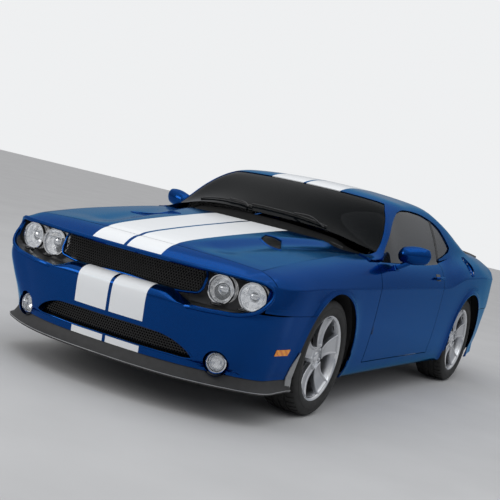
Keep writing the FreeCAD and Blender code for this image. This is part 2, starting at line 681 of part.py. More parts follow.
def firewall():
    """Bulkhead behind the engine, its cowl shelf, and the pillars that carry the door hinges."""
    t = 18
    shape = box(-700, 700, 565, 565 + t, FLOOR_Z, SHELF_Z)
    shape = shape.cut(box(-TUNNEL_HALF + 20, TUNNEL_HALF - 20, 500, 600, FLOOR_Z - 10, TUNNEL_TOP - 18))
    pieces = [arc_band(((690, 590), (0, 430)), ((690, 690), (0, 590)), SHELF_Z, SHELF_Z + t)]
    upstand = arc_band(((690, 678), (0, 578)), ((690, 690), (0, 590)), SHELF_Z, 1300)
    upstand = upstand.common(box(-UPSTAND_HALF, UPSTAND_HALF, 400, 800, SHELF_Z, 1400))
    pieces.append(upstand.common(glasshouse(ROOF_WALL + SEAT_GAP, 80)))
    pillar0, pillar1 = DOOR_FRONT - 80, DOOR_FRONT - 10
    for side in (1, -1):
        for x0, x1, s0, s1, z0, z1 in ((690, 880, pillar0, pillar1, DOOR_SILL - SHUT_GAP, 800),
                                       (690, 800, pillar0, pillar1, 800, 900),
                                       (690, 708, 565, pillar0, DOOR_SILL - SHUT_GAP, 900)):
            low, high = sorted((side * x0, side * x1))
            pieces.append(box(low, high, s0, s1, z0, z1))
    for piece in pieces:
        shape = shape.fuse(piece)
    return shape.removeSplitter()


def dashboard():
    """Dashboard on the firewall, and the console on the tunnel."""
    front = 583 + SEAT_GAP
    under = SHELF_Z - SEAT_GAP
    top = [(front, under), (706, under), (706, 960), (850, 950), (905, 900), (885, 760), (800, 700), (front, 690)]
    foot = TUNNEL_TOP + SEAT_GAP
    console = [(860, foot), (860, 720), (960, 560), (1250, 560), (1400, 600), (1700, 600), (1700, foot)]
    return side_prism(top, -680, 680).fuse(side_prism(console, -120, 120)).removeSplitter()


def front_seats():
    """Bucket seat on its runners, with a head restraint, left and right."""
    cushion = [(1180, 250), (1160, 430), (1200, 460), (1700, 420), (1760, 300), (1700, 250)]
    back = [(1640, 400), (1800, 330), (2020, 960), (1990, 1010), (1900, 990)]
    neck = [(1925, 950), (1985, 950), (2015, 1040), (1975, 1040)]
    rest = [(1955, 1020), (2040, 1020), (2060, 1150), (1990, 1170)]
    foot = FLOOR_TOP + SEAT_GAP
    runner = [(1200, foot), (1690, foot), (1690, 255), (1200, 255)]
    shape = None
    for outline, half in ((cushion, 225), (back, 220), (neck, 60), (rest, 125), (runner, 190)):
        piece = side_prism(outline, SEAT_X - half, SEAT_X + half)
        shape = piece if shape is None else shape.fuse(piece)
    return both(shape.removeSplitter())


def rear_seat():
    """Bench with its back, shaped to the floor under it."""
    low, high = FLOOR_TOP + SEAT_GAP, TRUNK_FLOOR_TOP + SEAT_GAP
    profile = [(2120, low), (2110, 440), (2160, 470), (2480, 530), (2700, 960), (2780, 945), (2600, high),
               (2489, high), (2229, low)]
    seat = side_prism(profile, -590, 590)
    half = TUNNEL_HALF + SEAT_GAP
    return seat.cut(box(-half, half, 2100, 2430, 100, TUNNEL_TOP + SEAT_GAP))


def rear_bulkhead():
    """Wall between the cabin and the trunk, with the parcel shelf on it."""
    wall = box(-600, 600, 2800, 2815, TRUNK_FLOOR_TOP + SEAT_GAP, 985)
    return wall.fuse(box(-600, 600, 2735, 3130, 985, 1003)).removeSplitter()


def steering_wheel():
    centre = at(SEAT_X, 1120, 860)
    tilt = V(0, cos(radians(25)), sin(radians(25)))
    ring = Part.makeTorus(180, 14, centre, tilt)
    hub = Part.makeCylinder(60, 40, centre - tilt * 30, tilt)
    shape = ring.fuse(hub)
    for angle in (0, 180, 270):
        axis = V(cos(radians(angle)), -sin(radians(angle)) * sin(radians(25)), sin(radians(angle)) * cos(radians(25)))
        shape = shape.fuse(Part.makeCylinder(11, 180, centre, axis))
    column = Part.makeCylinder(32, 230, centre - tilt * 20, tilt * -1)
    return shape.fuse(column).cut(dashboard())


# ---------------------------------------------------------------- running gear
def wheel_x(side):
    return side * TRACK / 2


def tyre(side, s):
    x = wheel_x(side)
    half = TYRE_WIDTH / 2
    profile = [(-half + 16, RIM_RADIUS + BEARING_GAP), (-half, RIM_RADIUS + 40), (-half + 8, WHEEL_RADIUS - 30),
               (-half + 24, WHEEL_RADIUS - 5), (-half + 44, WHEEL_RADIUS), (half - 44, WHEEL_RADIUS),
               (half - 24, WHEEL_RADIUS - 5), (half - 8, WHEEL_RADIUS - 30), (half, RIM_RADIUS + 40),
               (half - 16, RIM_RADIUS + BEARING_GAP)]
    face = Part.Face(polygon([at(x + dx, s, AXLE_Z + r) for dx, r in profile]))
    return face.revolve(at(x, s, AXLE_Z), V(1, 0, 0), 360)


def alloy_wheel(side, s):
    """Rim barrel with five wide spokes, a hub, and the brake disc bolted behind it."""
    x = wheel_x(side)
    half = RIM_WIDTH / 2
    barrel = [(-half, RIM_RADIUS), (-half, RIM_RADIUS - 14), (-half + 30, RIM_RADIUS - 34),
              (half - 60, RIM_RADIUS - 34), (half - 12, RIM_RADIUS - 20), (half, RIM_RADIUS - 14),
              (half, RIM_RADIUS)]
    face = Part.Face(polygon([at(x + side * dx, s, AXLE_Z + r) for dx, r in barrel]))
    rim = face.revolve(at(x, s, AXLE_Z), V(1, 0, 0), 360)
    hub_face = x + side * HUB_OUT
    hub = across(HUB_RADIUS, min(hub_face - side * 34, hub_face), max(hub_face - side * 34, hub_face), s, AXLE_Z)
    shape = rim.fuse(hub)
    for k in range(SPOKES):
        a0, a1 = 0.26, 0.20
        root, tip = HUB_RADIUS - 12, RIM_RADIUS - 24
        outline = [(root, -a1 * 190), (tip, -a0 * 230), (tip, a0 * 230), (root, a1 * 190)]
        angle = 360 * k / SPOKES
        blade = Part.Face(polygon([V(hub_face - side * 30, q, p) for p, q in outline])).extrude(V(side * 26, 0, 0))
        blade.rotate(V(0, 0, 0), V(1, 0, 0), angle)
        blade.translate(at(0, s, AXLE_Z))
        shape = shape.fuse(blade)
    neck0, neck1 = x - side * DISC_IN, hub_face - side * 30
    neck = across(HUB_RADIUS - 8, min(neck0, neck1), max(neck0, neck1), s, AXLE_Z)
    disc0, disc1 = x - side * DISC_IN, x - side * (DISC_IN + DISC_THICK)
    disc = across(DISC_RADIUS, min(disc0, disc1), max(disc0, disc1), s, AXLE_Z)
    shape = shape.fuse(neck).fuse(disc)
    end0, end1 = x - side * (KNUCKLE_IN + 10), hub_face - side * 14
    bore = across(SPINDLE_RADIUS + BEARING_GAP, min(end0, end1), max(end0, end1), s, AXLE_Z)
    return shape.cut(bore).removeSplitter()


def caliper(side, s):
    """Block over the rear of the disc, with a slot that the disc turns in."""
    x = wheel_x(side)
    low, high = sorted((x - side * (DISC_IN - 22), x - side * (KNUCKLE_IN + 12)))
    block = box(low, high, s + 105, s + 205, AXLE_Z - 70, AXLE_Z + 95)
    low, high = sorted((x - side * (DISC_IN - 5), x - side * (DISC_IN + DISC_THICK + 5)))
    slot = across(DISC_RADIUS + 6, low, high, s, AXLE_Z)
    limit = across(RIM_RADIUS - 42, x - 200, x + 200, s, AXLE_Z)
    return block.cut(slot).common(limit)


def knuckle(side, s):
    """Upright with the spindle that the wheel turns on, and the brake caliper bolted to it.

    Its foot has a bore for the ball stud of the lower arm.
    """
    x = wheel_x(side)
    outer, inner = x - side * KNUCKLE_IN, x - side * (KNUCKLE_IN + KNUCKLE_WIDTH)
    low, high = min(outer, inner), max(outer, inner)
    upright_block = box(low, high, s - 45, s + 45, KNUCKLE_Z, 520)
    socket = upright(STUD_RADIUS + BEARING_GAP, side * STEER_X, s, KNUCKLE_Z - 1, KNUCKLE_Z + 42)
    arm = box(low, high, s + 30, s + 150, AXLE_Z - 30, AXLE_Z + 40)
    tip = x + side * (HUB_OUT - 16)
    spindle = across(SPINDLE_RADIUS, min(tip, inner), max(tip, inner), s, AXLE_Z)
    shape = upright_block.fuse(arm).fuse(spindle)
    return shape.fuse(caliper(side, s)).cut(socket).removeSplitter()


def lower_arm(side, s, inner_x):
    """Lower arm, wide at the subframe and narrow under the knuckle, with its ball stud."""
    x = side * STEER_X
    outline = [(x, s - 28), (x, s + 28), (side * inner_x, s + 130), (side * inner_x, s - 130)]
    plate = plan_prism(outline, ARM_Z - 28, ARM_Z)
    foot = upright(28, x, s, ARM_Z - 28, ARM_Z)
    return plate.fuse(foot).fuse(upright(STUD_RADIUS, x, s, ARM_Z, KNUCKLE_Z + 38))


def front_subframe():
    beam = box(-390, 390, -140, 140, 178, 232)
    rails = [box(min(x0, x1), max(x0, x1), -760, 565 - SEAT_GAP, 232, 292) for x0, x1 in ((330, 390), (-330, -390))]
    cross = box(-330, 330, -760, -700, 232, 292)
    shape = beam.fuse(cross)
    for rail in rails:
        shape = shape.fuse(rail)
    shape = shape.fuse(box(-330, -200 - SEAT_GAP, -60, 60, 232, 292)).fuse(box(200 + SEAT_GAP, 330, -60, 60, 232, 292))
    for side in (1, -1):
        shape = shape.fuse(lower_arm(side, 0, 380))
        horn = box(min(side * 330, side * 390), max(side * 330, side * 390), -880, -760, 232, 470)
        shape = shape.fuse(horn)
    bar = end_shell(NOSE, 60, 45, 400, 480).common(box(-560, 560, -1100, -800, 400, 480))
    return shape.fuse(bar).removeSplitter()


def engine():
    block = box(-200, 200, -480, 380, 232 + SEAT_GAP, 840)
    return block.fuse(box(-290, 290, -440, 340, 420, 800)).removeSplitter()


def rear_axle():
    s = WHEELBASE
    low_z = ARM_Z - 40
    cross = box(-420, 420, s - 170, s - 110, low_z, 300).fuse(box(-420, 420, s + 110, s + 170, low_z, 300))
    for side in (1, -1):
        low, high = sorted((side * 360, side * 420))
        cross = cross.fuse(box(low, high, s - 170, s + 170, low_z, TRUNK_FLOOR_Z - SEAT_GAP))
        cross = cross.fuse(lower_arm(side, s, 400))
    final_drive = rounded_box(-110, 110, s - 170, s + 170, 225, 450, 40, 1)
    reach = TRACK / 2 - KNUCKLE_IN - KNUCKLE_WIDTH - SEAT_GAP
    shafts = across(22, -reach, reach, s, AXLE_Z)
    return cross.fuse(final_drive).fuse(shafts).removeSplitter()


def drive_shaft():
    """Gearbox behind the engine, and the shaft from it to the final drive."""
    gearbox = along(84, 380 + SEAT_GAP, 900, 0, SHAFT_Z)
    return gearbox.fuse(along(34, 900, WHEELBASE - 170 - SEAT_GAP, 0, SHAFT_Z))


def exhaust():
    shape = None
    for side in (1, -1):
        x = side * EXHAUST_X
        low, high = sorted((x - side * 110, x + side * 90))
        muffler = rounded_box(low, high, 3390, 3800, 250, 400, 60, 1)
        tip = along(42, 3800, TAIL - 20, x, 285)
        inside = along(36, 3850, TAIL, x, 285)
        shape_side = muffler.fuse(tip).cut(inside)
        hanger = box(x - 20, x + 20, 3600, 3640, 395, 480 - SEAT_GAP)
        shape_side = shape_side.fuse(hanger)
        shape = shape_side if shape is None else Part.makeCompound(shape.Solids + shape_side.Solids)
    return shape


def liner(s, inner_x, outer_x, neighbours):
    """Wheel arch liner: an arched wall with a plain inner side."""
    z = AXLE_Z + 6
    drum = across(LINER_RADIUS + LINER_WALL, inner_x, outer_x, s, z)
    hollow = across(LINER_RADIUS, inner_x + LINER_WALL, outer_x + 1, s, z)
    shape = drum.cut(hollow).cut(box(0, 1100, s - 600, s + 600, 0, DOOR_SILL))
    shape = shape.cut(across(60, inner_x - 5, inner_x + LINER_WALL + 5, s, AXLE_Z))
    for piece in neighbours:
        shape = shape.cut(piece)
    return max(shape.Solids, key=lambda p: p.Volume)


def liners():
    front = side_wall(FASCIA_SEAM, 700, FENDER_WALL + SEAT_GAP)
    nose = end_shell(NOSE, -5, FASCIA_WALL + 5 + SEAT_GAP, 160, 900)
    rear = side_wall(DOOR_REAR, QUARTER_END, QUARTER_WALL + SEAT_GAP, "crest")
    stern = end_shell(STERN, -5, FASCIA_WALL + 5 + SEAT_GAP, 210, 700)
    front_liner = liner(0, 470, 930, [front, nose])
    rear_liner = liner(WHEELBASE, 612, 950, [rear, stern])
    return Part.makeCompound([front_liner, mirrored(front_liner), rear_liner, mirrored(rear_liner)])


def door_hinges():
    """Straps on the hinge pillars with the pins that the doors turn on."""
    pieces = []
    for z in HINGE_HEIGHTS:
        s = DOOR_FRONT + HINGE_SET_BACK
        half = PIN_RADIUS - 2
        strap = box(HINGE_X - 60, HINGE_X, s - half, s + half, z - 18, z + 18)
        leg = box(HINGE_X - 90, HINGE_X - 48, DOOR_FRONT - 10, s - half - 1, z - 18, z + 18)
        link = box(HINGE_X - 60, HINGE_X - 48, DOOR_FRONT - 10, s + half, z - 18, z + 18)
        pin = upright(PIN_RADIUS, HINGE_X, s, z - 45, z + 45)
        pieces.append(strap.fuse(leg).fuse(link).fuse(pin).removeSplitter())
    return Part.makeCompound(pieces + [mirrored(p) for p in pieces])


def hood_lug():
    """Ear under the hood with a bore for its hinge pin."""
    s, z = HOOD_HINGE_S, HOOD_HINGE_Z
    ear = box(705, 725, s - 13, s + 13, z, z + 40).fuse(across(13, 705, 725, s, z))
    return ear.cut(across(PIN_RADIUS + BEARING_GAP, 700, 730, s, z))


def hood_bracket():
    """Plate on the cowl shelf with the hood's hinge pin."""
    s, z = HOOD_HINGE_S, HOOD_HINGE_Z
    plate = box(677, 687, s - 13, s + 13, SHELF_Z + 18 + SEAT_GAP, z + 8)
    return plate.fuse(across(PIN_RADIUS, 677, 725, s, z)).removeSplitter()


def lid_notch():
    """Room in the trunk lid for its hinge strap, with the bores of the pin on either side."""
    x, s, z = LID_HINGE_X, LID_HINGE_S, LID_HINGE_Z
    notch = box(x - 16, x + 16, s - 15, s + 15, z - 30, z + 30)
    return notch.fuse(across(LID_PIN + BEARING_GAP, x - 30, x + 30, s, z))


def lid_strap():
    x, s, z = LID_HINGE_X, LID_HINGE_S, LID_HINGE_Z
    strap = box(x - 9, x + 9, ROOF_END + SEAT_GAP, s + 6, z - 12, z + 5)
    return strap.fuse(across(LID_PIN, x - 28, x + 28, s, z)).removeSplitter()


# ---------------------------------------------------------------- fuel door on the left quarter
def fuel_frame():
    """Middle of the fuel door on the body side, and the outward direction there."""
    b = body_at(FUEL_S)
    along_side = V(b["crest_x"] - b["line_x"], 0, b["crest_z"] - b["line_z"]).normalize()
    outward = V(along_side.z, 0, -along_side.x)
    middle = at(b["line_x"], FUEL_S, b["line_z"]) + along_side * FUEL_UP
    return middle, along_side, outward


def fuel_recess():
    middle, _, outward = fuel_frame()
    recess = Part.makeCylinder(FUEL_RADIUS + FUEL_GAP, 80, middle - outward * FUEL_DEPTH, outward)
    return recess.fuse(recess.translated(V(0, -FUEL_SWING, 0))).removeSplitter()


def fuel_hinge_axis():
    middle, along_side, outward = fuel_frame()
    return middle - V(0, FUEL_RADIUS - 12, 0) - outward * 8


def fuel_door():
    middle, along_side, outward = fuel_frame()
    disc = Part.makeCylinder(FUEL_RADIUS, 14, middle - outward * 15, outward)
    axis = fuel_hinge_axis()
    slot = Part.makeCylinder(11, 22, axis - along_side * 11, along_side)
    relief = Part.makeCylinder(11, 22, axis - along_side * 11 - V(0, 12, 0), along_side)
    bore = Part.makeCylinder(2.5 + BEARING_GAP, 48, axis - along_side * 24, along_side)
    return max(disc.cut(slot).cut(relief).cut(bore).Solids, key=lambda p: p.Volume)


def fuel_hinge():
    """Post on the recess floor with the fuel door's pin."""
    _, along_side, outward = fuel_frame()
    axis = fuel_hinge_axis()
    pin = Part.makeCylinder(2.5, 44, axis - along_side * 22, along_side)
    post = Part.makeCylinder(5, FUEL_DEPTH - 8 - SEAT_GAP, axis, outward * -1)
    return pin.fuse(post).removeSplitter()


# ---------------------------------------------------------------- build
def build():
    left_fender = fender()
    left_door = door()
    left_quarter = quarter_panel()
    fascia = front_fascia()
    skin = glass_skin()
    lid = trunk_lid()
    left_glass = door_glass(skin)
    left_mirror = door_mirror().cut(left_glass.translated(V(SEAT_GAP, 0, 0))).cut(left_glass)

    nodes = {
        "front_fascia": fascia,
        "front_splitter": splitter(),
        "grilles": grilles(),
        "headlamps": headlamps(),
        "fog_lamps": fog_lamps(),
        "left_front_fender": left_fender,
        "right_front_fender": mirrored(left_fender),
        "hood": hood(),
        "left_door": left_door,
        "right_door": mirrored(left_door),
        "left_door_glass": left_glass,
        "right_door_glass": mirrored(left_glass),
        "left_mirror": left_mirror,
        "right_mirror": mirrored(left_mirror),
        "door_hinges": door_hinges(),
        "lid_hinges": Part.makeCompound([hood_bracket(), mirrored(hood_bracket()), lid_strap(),
                                         mirrored(lid_strap()), fuel_hinge()]),
        "fuel_door": fuel_door(),
        "left_quarter_panel": left_quarter.cut(fuel_recess()),
        "right_quarter_panel": mirrored(left_quarter),
        "rocker_sills": sills(),
        "roof_frame": roof_frame(),
        "windscreen": windscreen(skin),
        "rear_window": backlight(skin),
        "quarter_windows": quarter_glass(skin),
        "trunk_lid": lid,
        "rear_spoiler": rear_spoiler(),
        "tail_panel": tail_panel(),
        "tail_lamps": tail_lamps(),
        "rear_bumper": rear_bumper(),
        "floor_pan": floor_pan(),
        "firewall": firewall(),
        "dashboard": dashboard(),
        "steering_wheel": steering_wheel(),
        "front_seats": front_seats(),
        "rear_seat": rear_seat(),
        "rear_bulkhead": rear_bulkhead(),
        "front_subframe": front_subframe(),
        "engine": engine(),
        "drive_shaft": drive_shaft(),
        "rear_axle": rear_axle(),
        "exhaust": exhaust(),
        "wheel_arch_liners": liners(),
        "rear_knuckles": Part.makeCompound([knuckle(1, WHEELBASE), knuckle(-1, WHEELBASE)]),
    }
    for side, word in ((1, "left"), (-1, "right")):
        nodes[word + "_front_knuckle"] = knuckle(side, 0)
        for s, end in ((0, "front"), (WHEELBASE, "rear")):
            nodes[word + "_" + end + "_wheel"] = alloy_wheel(side, s)
            nodes[word + "_" + end + "_tyre"] = tyre(side, s)
    for name, shape in nodes.items():
        save(name, shape)
    print(len(nodes), "nodes")


build()
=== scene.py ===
"""Looks of a two-door muscle coupe: painted panels, glass, lamps, wheels, cabin and running gear."""
from contextlib import contextmanager
from math import cos, exp, pi, radians, sin, sqrt

import bmesh
import bpy
import numpy as np
from mathutils import Matrix, Vector
from mathutils.bvhtree import BVHTree


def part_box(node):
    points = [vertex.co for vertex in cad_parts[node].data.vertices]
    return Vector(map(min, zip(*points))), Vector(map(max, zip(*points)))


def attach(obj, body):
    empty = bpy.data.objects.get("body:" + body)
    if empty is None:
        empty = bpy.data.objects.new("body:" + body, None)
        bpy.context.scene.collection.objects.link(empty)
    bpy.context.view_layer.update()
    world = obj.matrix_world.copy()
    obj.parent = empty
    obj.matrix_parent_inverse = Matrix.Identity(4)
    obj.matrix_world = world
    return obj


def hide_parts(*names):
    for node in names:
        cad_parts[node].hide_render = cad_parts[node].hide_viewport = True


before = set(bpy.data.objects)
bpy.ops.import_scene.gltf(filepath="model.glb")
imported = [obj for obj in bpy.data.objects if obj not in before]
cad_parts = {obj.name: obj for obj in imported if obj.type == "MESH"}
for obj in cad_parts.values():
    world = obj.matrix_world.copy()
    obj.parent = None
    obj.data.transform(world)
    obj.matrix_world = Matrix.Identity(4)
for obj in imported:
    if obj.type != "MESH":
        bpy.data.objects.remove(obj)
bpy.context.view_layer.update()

AXLE = (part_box("left_front_tyre")[0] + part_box("left_front_tyre")[1]) / 2
REAR_AXLE = (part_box("left_rear_tyre")[0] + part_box("left_rear_tyre")[1]) / 2
FRONT_Y = AXLE.y                                  # stations s count backwards from the front axle
WHEELBASE = REAR_AXLE.y - AXLE.y
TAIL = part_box("rear_bumper")[1].y - FRONT_Y
ARCH_Z, ARCH = 0.37, 0.405                       # height and radius of the wheel openings

# ---------------------------------------------------------------- shape tables, in millimetres
# Left body side.  columns: s, then x and z of sill, bulge, waist, line, crest and top edge, then middle z
SIDE = [
    (-840, 770, 235, 842, 480, 888, 640, 838, 802, 800, 828, 768, 844, 885),
    (-800, 800, 237, 866, 480, 906, 640, 862, 798, 810, 833, 768, 851, 898),
    (-760, 830, 240, 886, 480, 920, 640, 883, 794, 820, 842, 767, 858, 906),
    (-700, 865, 238, 906, 480, 931, 642, 902, 790, 830, 854, 766, 868, 916),
    (-600, 885, 230, 922, 480, 939, 644, 925, 790, 838, 868, 765, 882, 930),
    (-300, 905, 215, 936, 480, 944, 642, 940, 800, 848, 908, 758, 922, 968),
    (0, 912, 200, 940, 480, 947, 640, 946, 806, 852, 938, 752, 955, 1002),
    (500, 908, 190, 935, 470, 942, 640, 941, 812, 856, 980, 766, 996, 1052),
    (1200, 905, 190, 930, 470, 940, 640, 941, 818, 868, 990, 768, 1010, 1060),
    (1960, 910, 190, 938, 470, 946, 640, 948, 828, 862, 1008, 760, 1030, 1060),
    (2300, 916, 195, 947, 475, 953, 650, 955, 838, 850, 1034, 752, 1050, 1072),
    (2600, 922, 203, 954, 484, 958, 680, 960, 905, 832, 1056, 742, 1070, 1084),
    (2946, 925, 215, 955, 490, 960, 690, 961, 916, 806, 1074, 715, 1086, 1098),
    (3500, 905, 250, 935, 500, 944, 700, 944, 918, 762, 1076, 690, 1086, 1096),
    (3700, 885, 275, 914, 510, 926, 700, 926, 911, 745, 1058, 686, 1070, 1078),
    (3830, 850, 290, 886, 520, 900, 700, 901, 905, 735, 1038, 680, 1050, 1062),
    (4000, 790, 300, 826, 520, 845, 700, 846, 893, 705, 1010, 660, 1022, 1038),
]
# Roof and windows above the crest.  columns: s, rail x, rail z, middle z
GLASSHOUSE = [
    (440, 800, 990, 1046), (760, 778, 1030, 1200), (1200, 668, 1342, 1392), (1700, 668, 1386, 1444),
    (2200, 672, 1378, 1414), (2500, 722, 1294, 1326), (2800, 742, 1198, 1212), (3140, 735, 1100, 1112),
]
# Half plan outlines of nose and stern by height.  columns: z, middle s, then x and s of corner, bend and side
NOSE = [
    (150, -985, 540, -915, 730, -835, 885, -690), (250, -990, 540, -915, 705, -830, 868, -690),
    (360, -1005, 600, -918, 770, -840, 890, -690), (480, -1024, 640, -932, 835, -850, 909, -690),
    (600, -1030, 690, -940, 868, -868, 928, -720), (660, -1020, 690, -932, 868, -862, 929, -710),
    (820, -985, 640, -905, 838, -838, 900, -700), (920, -985, 640, -905, 838, -838, 900, -700),
]
STERN = [
    (200, -50, 560, -80, 720, -150, 800, -300), (420, -8, 590, -40, 770, -112, 848, -260),
    (560, 0, 600, -33, 800, -105, 884, -245), (900, 0, 600, -33, 800, -105, 884, -245),
    (1100, -20, 580, -50, 770, -120, 856, -260),
]


# ---------------------------------------------------------------- smooth tables
def follow(table, s):
    """Every column of a table at positions s, on smooth curves through its rows."""
    rows = np.array(table, float)
    x, y = rows[:, 0], rows[:, 1:]
    step = np.diff(x)[:, None]
    rise = np.diff(y, axis=0) / step
    between = (rise[:-1] * step[1:] + rise[1:] * step[:-1]) / (step[:-1] + step[1:])
    slope = np.vstack([rise[:1], between, rise[-1:]])
    s = np.atleast_1d(np.asarray(s, float))
    i = np.clip(np.searchsorted(x, s, side="right") - 1, 0, len(x) - 2)
    t, h = ((s - x[i]) / step[i, 0])[:, None], step[i]
    a, b, m, n = y[i], y[i + 1], slope[i] * h, slope[i + 1] * h
    return a + t * m + t * t * (3 * (b - a) - 2 * m - n) + t ** 3 * (2 * (a - b) + m + n)


def spread(path, count):
    """A path of points resampled to a count of points an even distance apart."""
    path = np.array(path, float)
    along = np.concatenate([[0], np.cumsum(np.linalg.norm(np.diff(path, axis=0), axis=1))])
    t = np.linspace(0, along[-1], count)
    return np.stack([np.interp(t, along, path[:, k]) for k in range(path.shape[1])], 1)


def flow(path, count):
    """A smooth curve through the points of a path."""
    path = np.array(path, float)
    along = np.concatenate([[0], np.cumsum(np.linalg.norm(np.diff(path, axis=0), axis=1))])
    rows = np.column_stack([along, path])
    return spread(follow(rows, np.linspace(0, along[-1], 12 * len(path))), count)


def chain(*runs):
    """Runs of points joined end to end."""
    out = [np.array(runs[0], float)]
    for r in runs[1:]:
        out.append(np.array(r, float)[1:])
    return np.vstack(out)


def look_up(table, row, column):
    """Values of a grid of points between its rows and columns, on smooth curves."""
    rows, columns = table.shape[:2]
    row, column = np.broadcast_arrays(np.asarray(row, float), np.asarray(column, float))
    row, column = np.clip(row, 0, rows - 1), np.clip(column, 0, columns - 1)
    i, j = np.minimum(row.astype(int), rows - 2), np.minimum(column.astype(int), columns - 2)

    def weights(t):
        return ((-t + 2 * t * t - t ** 3) / 2, (2 - 5 * t * t + 3 * t ** 3) / 2,
                (t + 4 * t * t - 3 * t ** 3) / 2, (t ** 3 - t * t) / 2)

    total = 0
    for a, wa in enumerate(weights(row - i)):
        for b, wb in enumerate(weights(column - j)):
            p = table[np.clip(i + a - 1, 0, rows - 1), np.clip(j + b - 1, 0, columns - 1)]
            total = total + p * (wa * wb)[..., None]
    return total


def relax(grid, rounds, weight):
    """Rounds the corners of section lines; weight is how much each point of a line may move."""
    w = np.array(weight)[None, 1:-1, None] * 0.5
    for _ in range(rounds):
        grid[:, 1:-1] += w * (grid[:, :-2] + grid[:, 2:] - 2 * grid[:, 1:-1])
    return grid


# ---------------------------------------------------------------- body side as one smooth skin
STEP = 0.01
PARTS = 16                                        # points between two section points
LINE, CREST, TOP = 4, 6, 7


def side_skin():
    """Places (x, z) over the body side, one row of points per station."""
    stations = np.arange(-0.84, 4.0005, STEP)
    row = follow(SIDE, stations * 1000) / 1000
    x, z = row[:, 0:12:2], row[:, 1:12:2]
    points = [np.stack([x[:, 0] - 0.05, z[:, 0]], 1)] + [np.stack([x[:, k], z[:, k]], 1) for k in range(4)]
    run = np.stack([x[:, 4] - x[:, 3], z[:, 4] - z[:, 3]], 1)
    out = np.stack([run[:, 1], -run[:, 0]], 1) / np.linalg.norm(run, axis=1)[:, None]
    points.append(points[4] + run * 0.5 + out * 0.1 * np.linalg.norm(run, axis=1)[:, None])
    points += [np.stack([x[:, k], z[:, k]], 1) for k in (4, 5)]
    share = np.arange(PARTS)[None, :, None] / PARTS
    grid = np.concatenate([a[:, None] * (1 - share) + b[:, None] * share for a, b in zip(points, points[1:])]
                          + [points[-1][:, None]], axis=1)
    weight = np.ones(grid.shape[1])
    weight[LINE * PARTS - 1:LINE * PARTS + 2] = (0.3, 0, 0.3)
    return relax(grid, 60, weight)


SKIN = side_skin()


def arch_swell(s, z):
    """How far the body stands out round the wheel openings."""
    swell = 0
    for centre in (0, WHEELBASE):
        r = np.hypot(s - centre, z - ARCH_Z)
        lip = 0.009 * np.exp(-((r - ARCH - 0.008) / 0.02) ** 2)
        swell = swell + lip + 0.006 * np.exp(-((r - ARCH) / 0.075) ** 2)
    return swell


def on_side(s, v):
    """Points of the left body side at stations s and section places v."""
    s, v = np.asarray(s, float), np.asarray(v, float)
    p = look_up(SKIN, (s + 0.84) / STEP, v * PARTS)
    x = p[..., 0] + arch_swell(s, p[..., 1]) * np.clip((LINE - v) * 2, 0, 1)
    return np.stack([x, s + FRONT_Y, p[..., 1]], -1)


def height_place(s, z):
    """Section place v at a station and height."""
    s, z = np.broadcast_arrays(np.asarray(s, float), np.asarray(z, float))
    rows = np.clip(((s + 0.84) / STEP).round().astype(int), 0, len(SKIN) - 1).ravel()
    places = (np.arange(SKIN.shape[1]) / PARTS)[PARTS:]
    found = [np.interp(height, SKIN[row, PARTS:, 1], places) for row, height in zip(rows, z.ravel())]
    return np.array(found).reshape(s.shape)


def side_x(s, z):
    """Half width of the body side at a station and a height."""
    return on_side(s, height_place(s, z))[..., 0]


def side_line(points, count=0):
    """Corner points (s, z) of a panel edge in mm, as (s, v) points."""
    path = np.array(points, float) / 1000
    path = spread(path, count or len(path))
    return np.stack([path[:, 0], height_place(path[:, 0], path[:, 1])], 1)


def arch_run(centre, first, last, count, radius=ARCH):
    """Edge of a wheel opening in (s, z) mm between two angles, over the top."""
    a = np.radians(np.linspace(first, last, count))
    return np.stack([centre + radius * np.cos(a), ARCH_Z + radius * np.sin(a)], 1) * 1000


# ---------------------------------------------------------------- nose and stern wrap
def end_skin(table, start, join):
    """Points (x, s) of a nose or stern by plan place a and height; a 4 is where it meets the body side."""
    heights = np.arange(0.15, 1.0201, 0.01)
    rows = follow(table, heights * 1000) / 1000
    out = []
    for z, (mid, cx, cs, bx, bs, sx, ss) in zip(heights, rows):
        mid, cs, bs, ss = mid + start, cs + start, bs + start, ss + start
        beyond = join + (0.15 if join < 0 else -0.15)
        path = np.array([(-cx, cs), (0, mid), (cx, cs), (bx, bs), (sx, ss), (float(side_x(join, z)), join),
                         (float(side_x(beyond, z)), beyond)])
        along = np.concatenate([[0], np.cumsum(np.linalg.norm(np.diff(path, axis=0), axis=1))])
        places = np.interp(np.arange(0, 4.0001, 0.05), np.arange(-1, 6), along)
        out.append(follow(np.column_stack([along, path]), places))
    return np.stack(out, 1)


NOSE_JOIN = -0.58
STERN_JOIN = TAIL - 0.42
NOSE_SKIN = end_skin(NOSE, 0, NOSE_JOIN)
STERN_SKIN = end_skin(STERN, TAIL, STERN_JOIN)


def on_end(skin, a, z):
    """Points of the nose or stern; past place 4 they run on along the body side, 0.2 m for each unit."""
    a, z = np.broadcast_arrays(np.asarray(a, float), np.asarray(z, float))
    join, way = (NOSE_JOIN, 1) if skin is NOSE_SKIN else (STERN_JOIN, -1)
    p = look_up(skin, a * 20, (z - 0.15) / 0.01)
    s = join + way * (a - 4) * 0.2
    beyond = a > 4
    x = np.where(beyond, side_x(np.where(beyond, s, join), z), p[..., 0])
    return np.stack([x, np.where(beyond, s, p[..., 1]) + FRONT_Y, z + 0 * x], -1)


def nose_place(x, z):
    """Plan place a of a point seen from the front, ahead of the corner."""
    a = np.arange(0, 3.0001, 0.05)
    column = look_up(NOSE_SKIN, np.arange(61), (z - 0.15) / 0.01)[:, 0]
    return float(np.interp(x, column, a))


def nose_depth(x, z):
    """Y of the nose surface at a place seen from the front."""
    return float(on_end(NOSE_SKIN, nose_place(abs(x), z), z)[1])


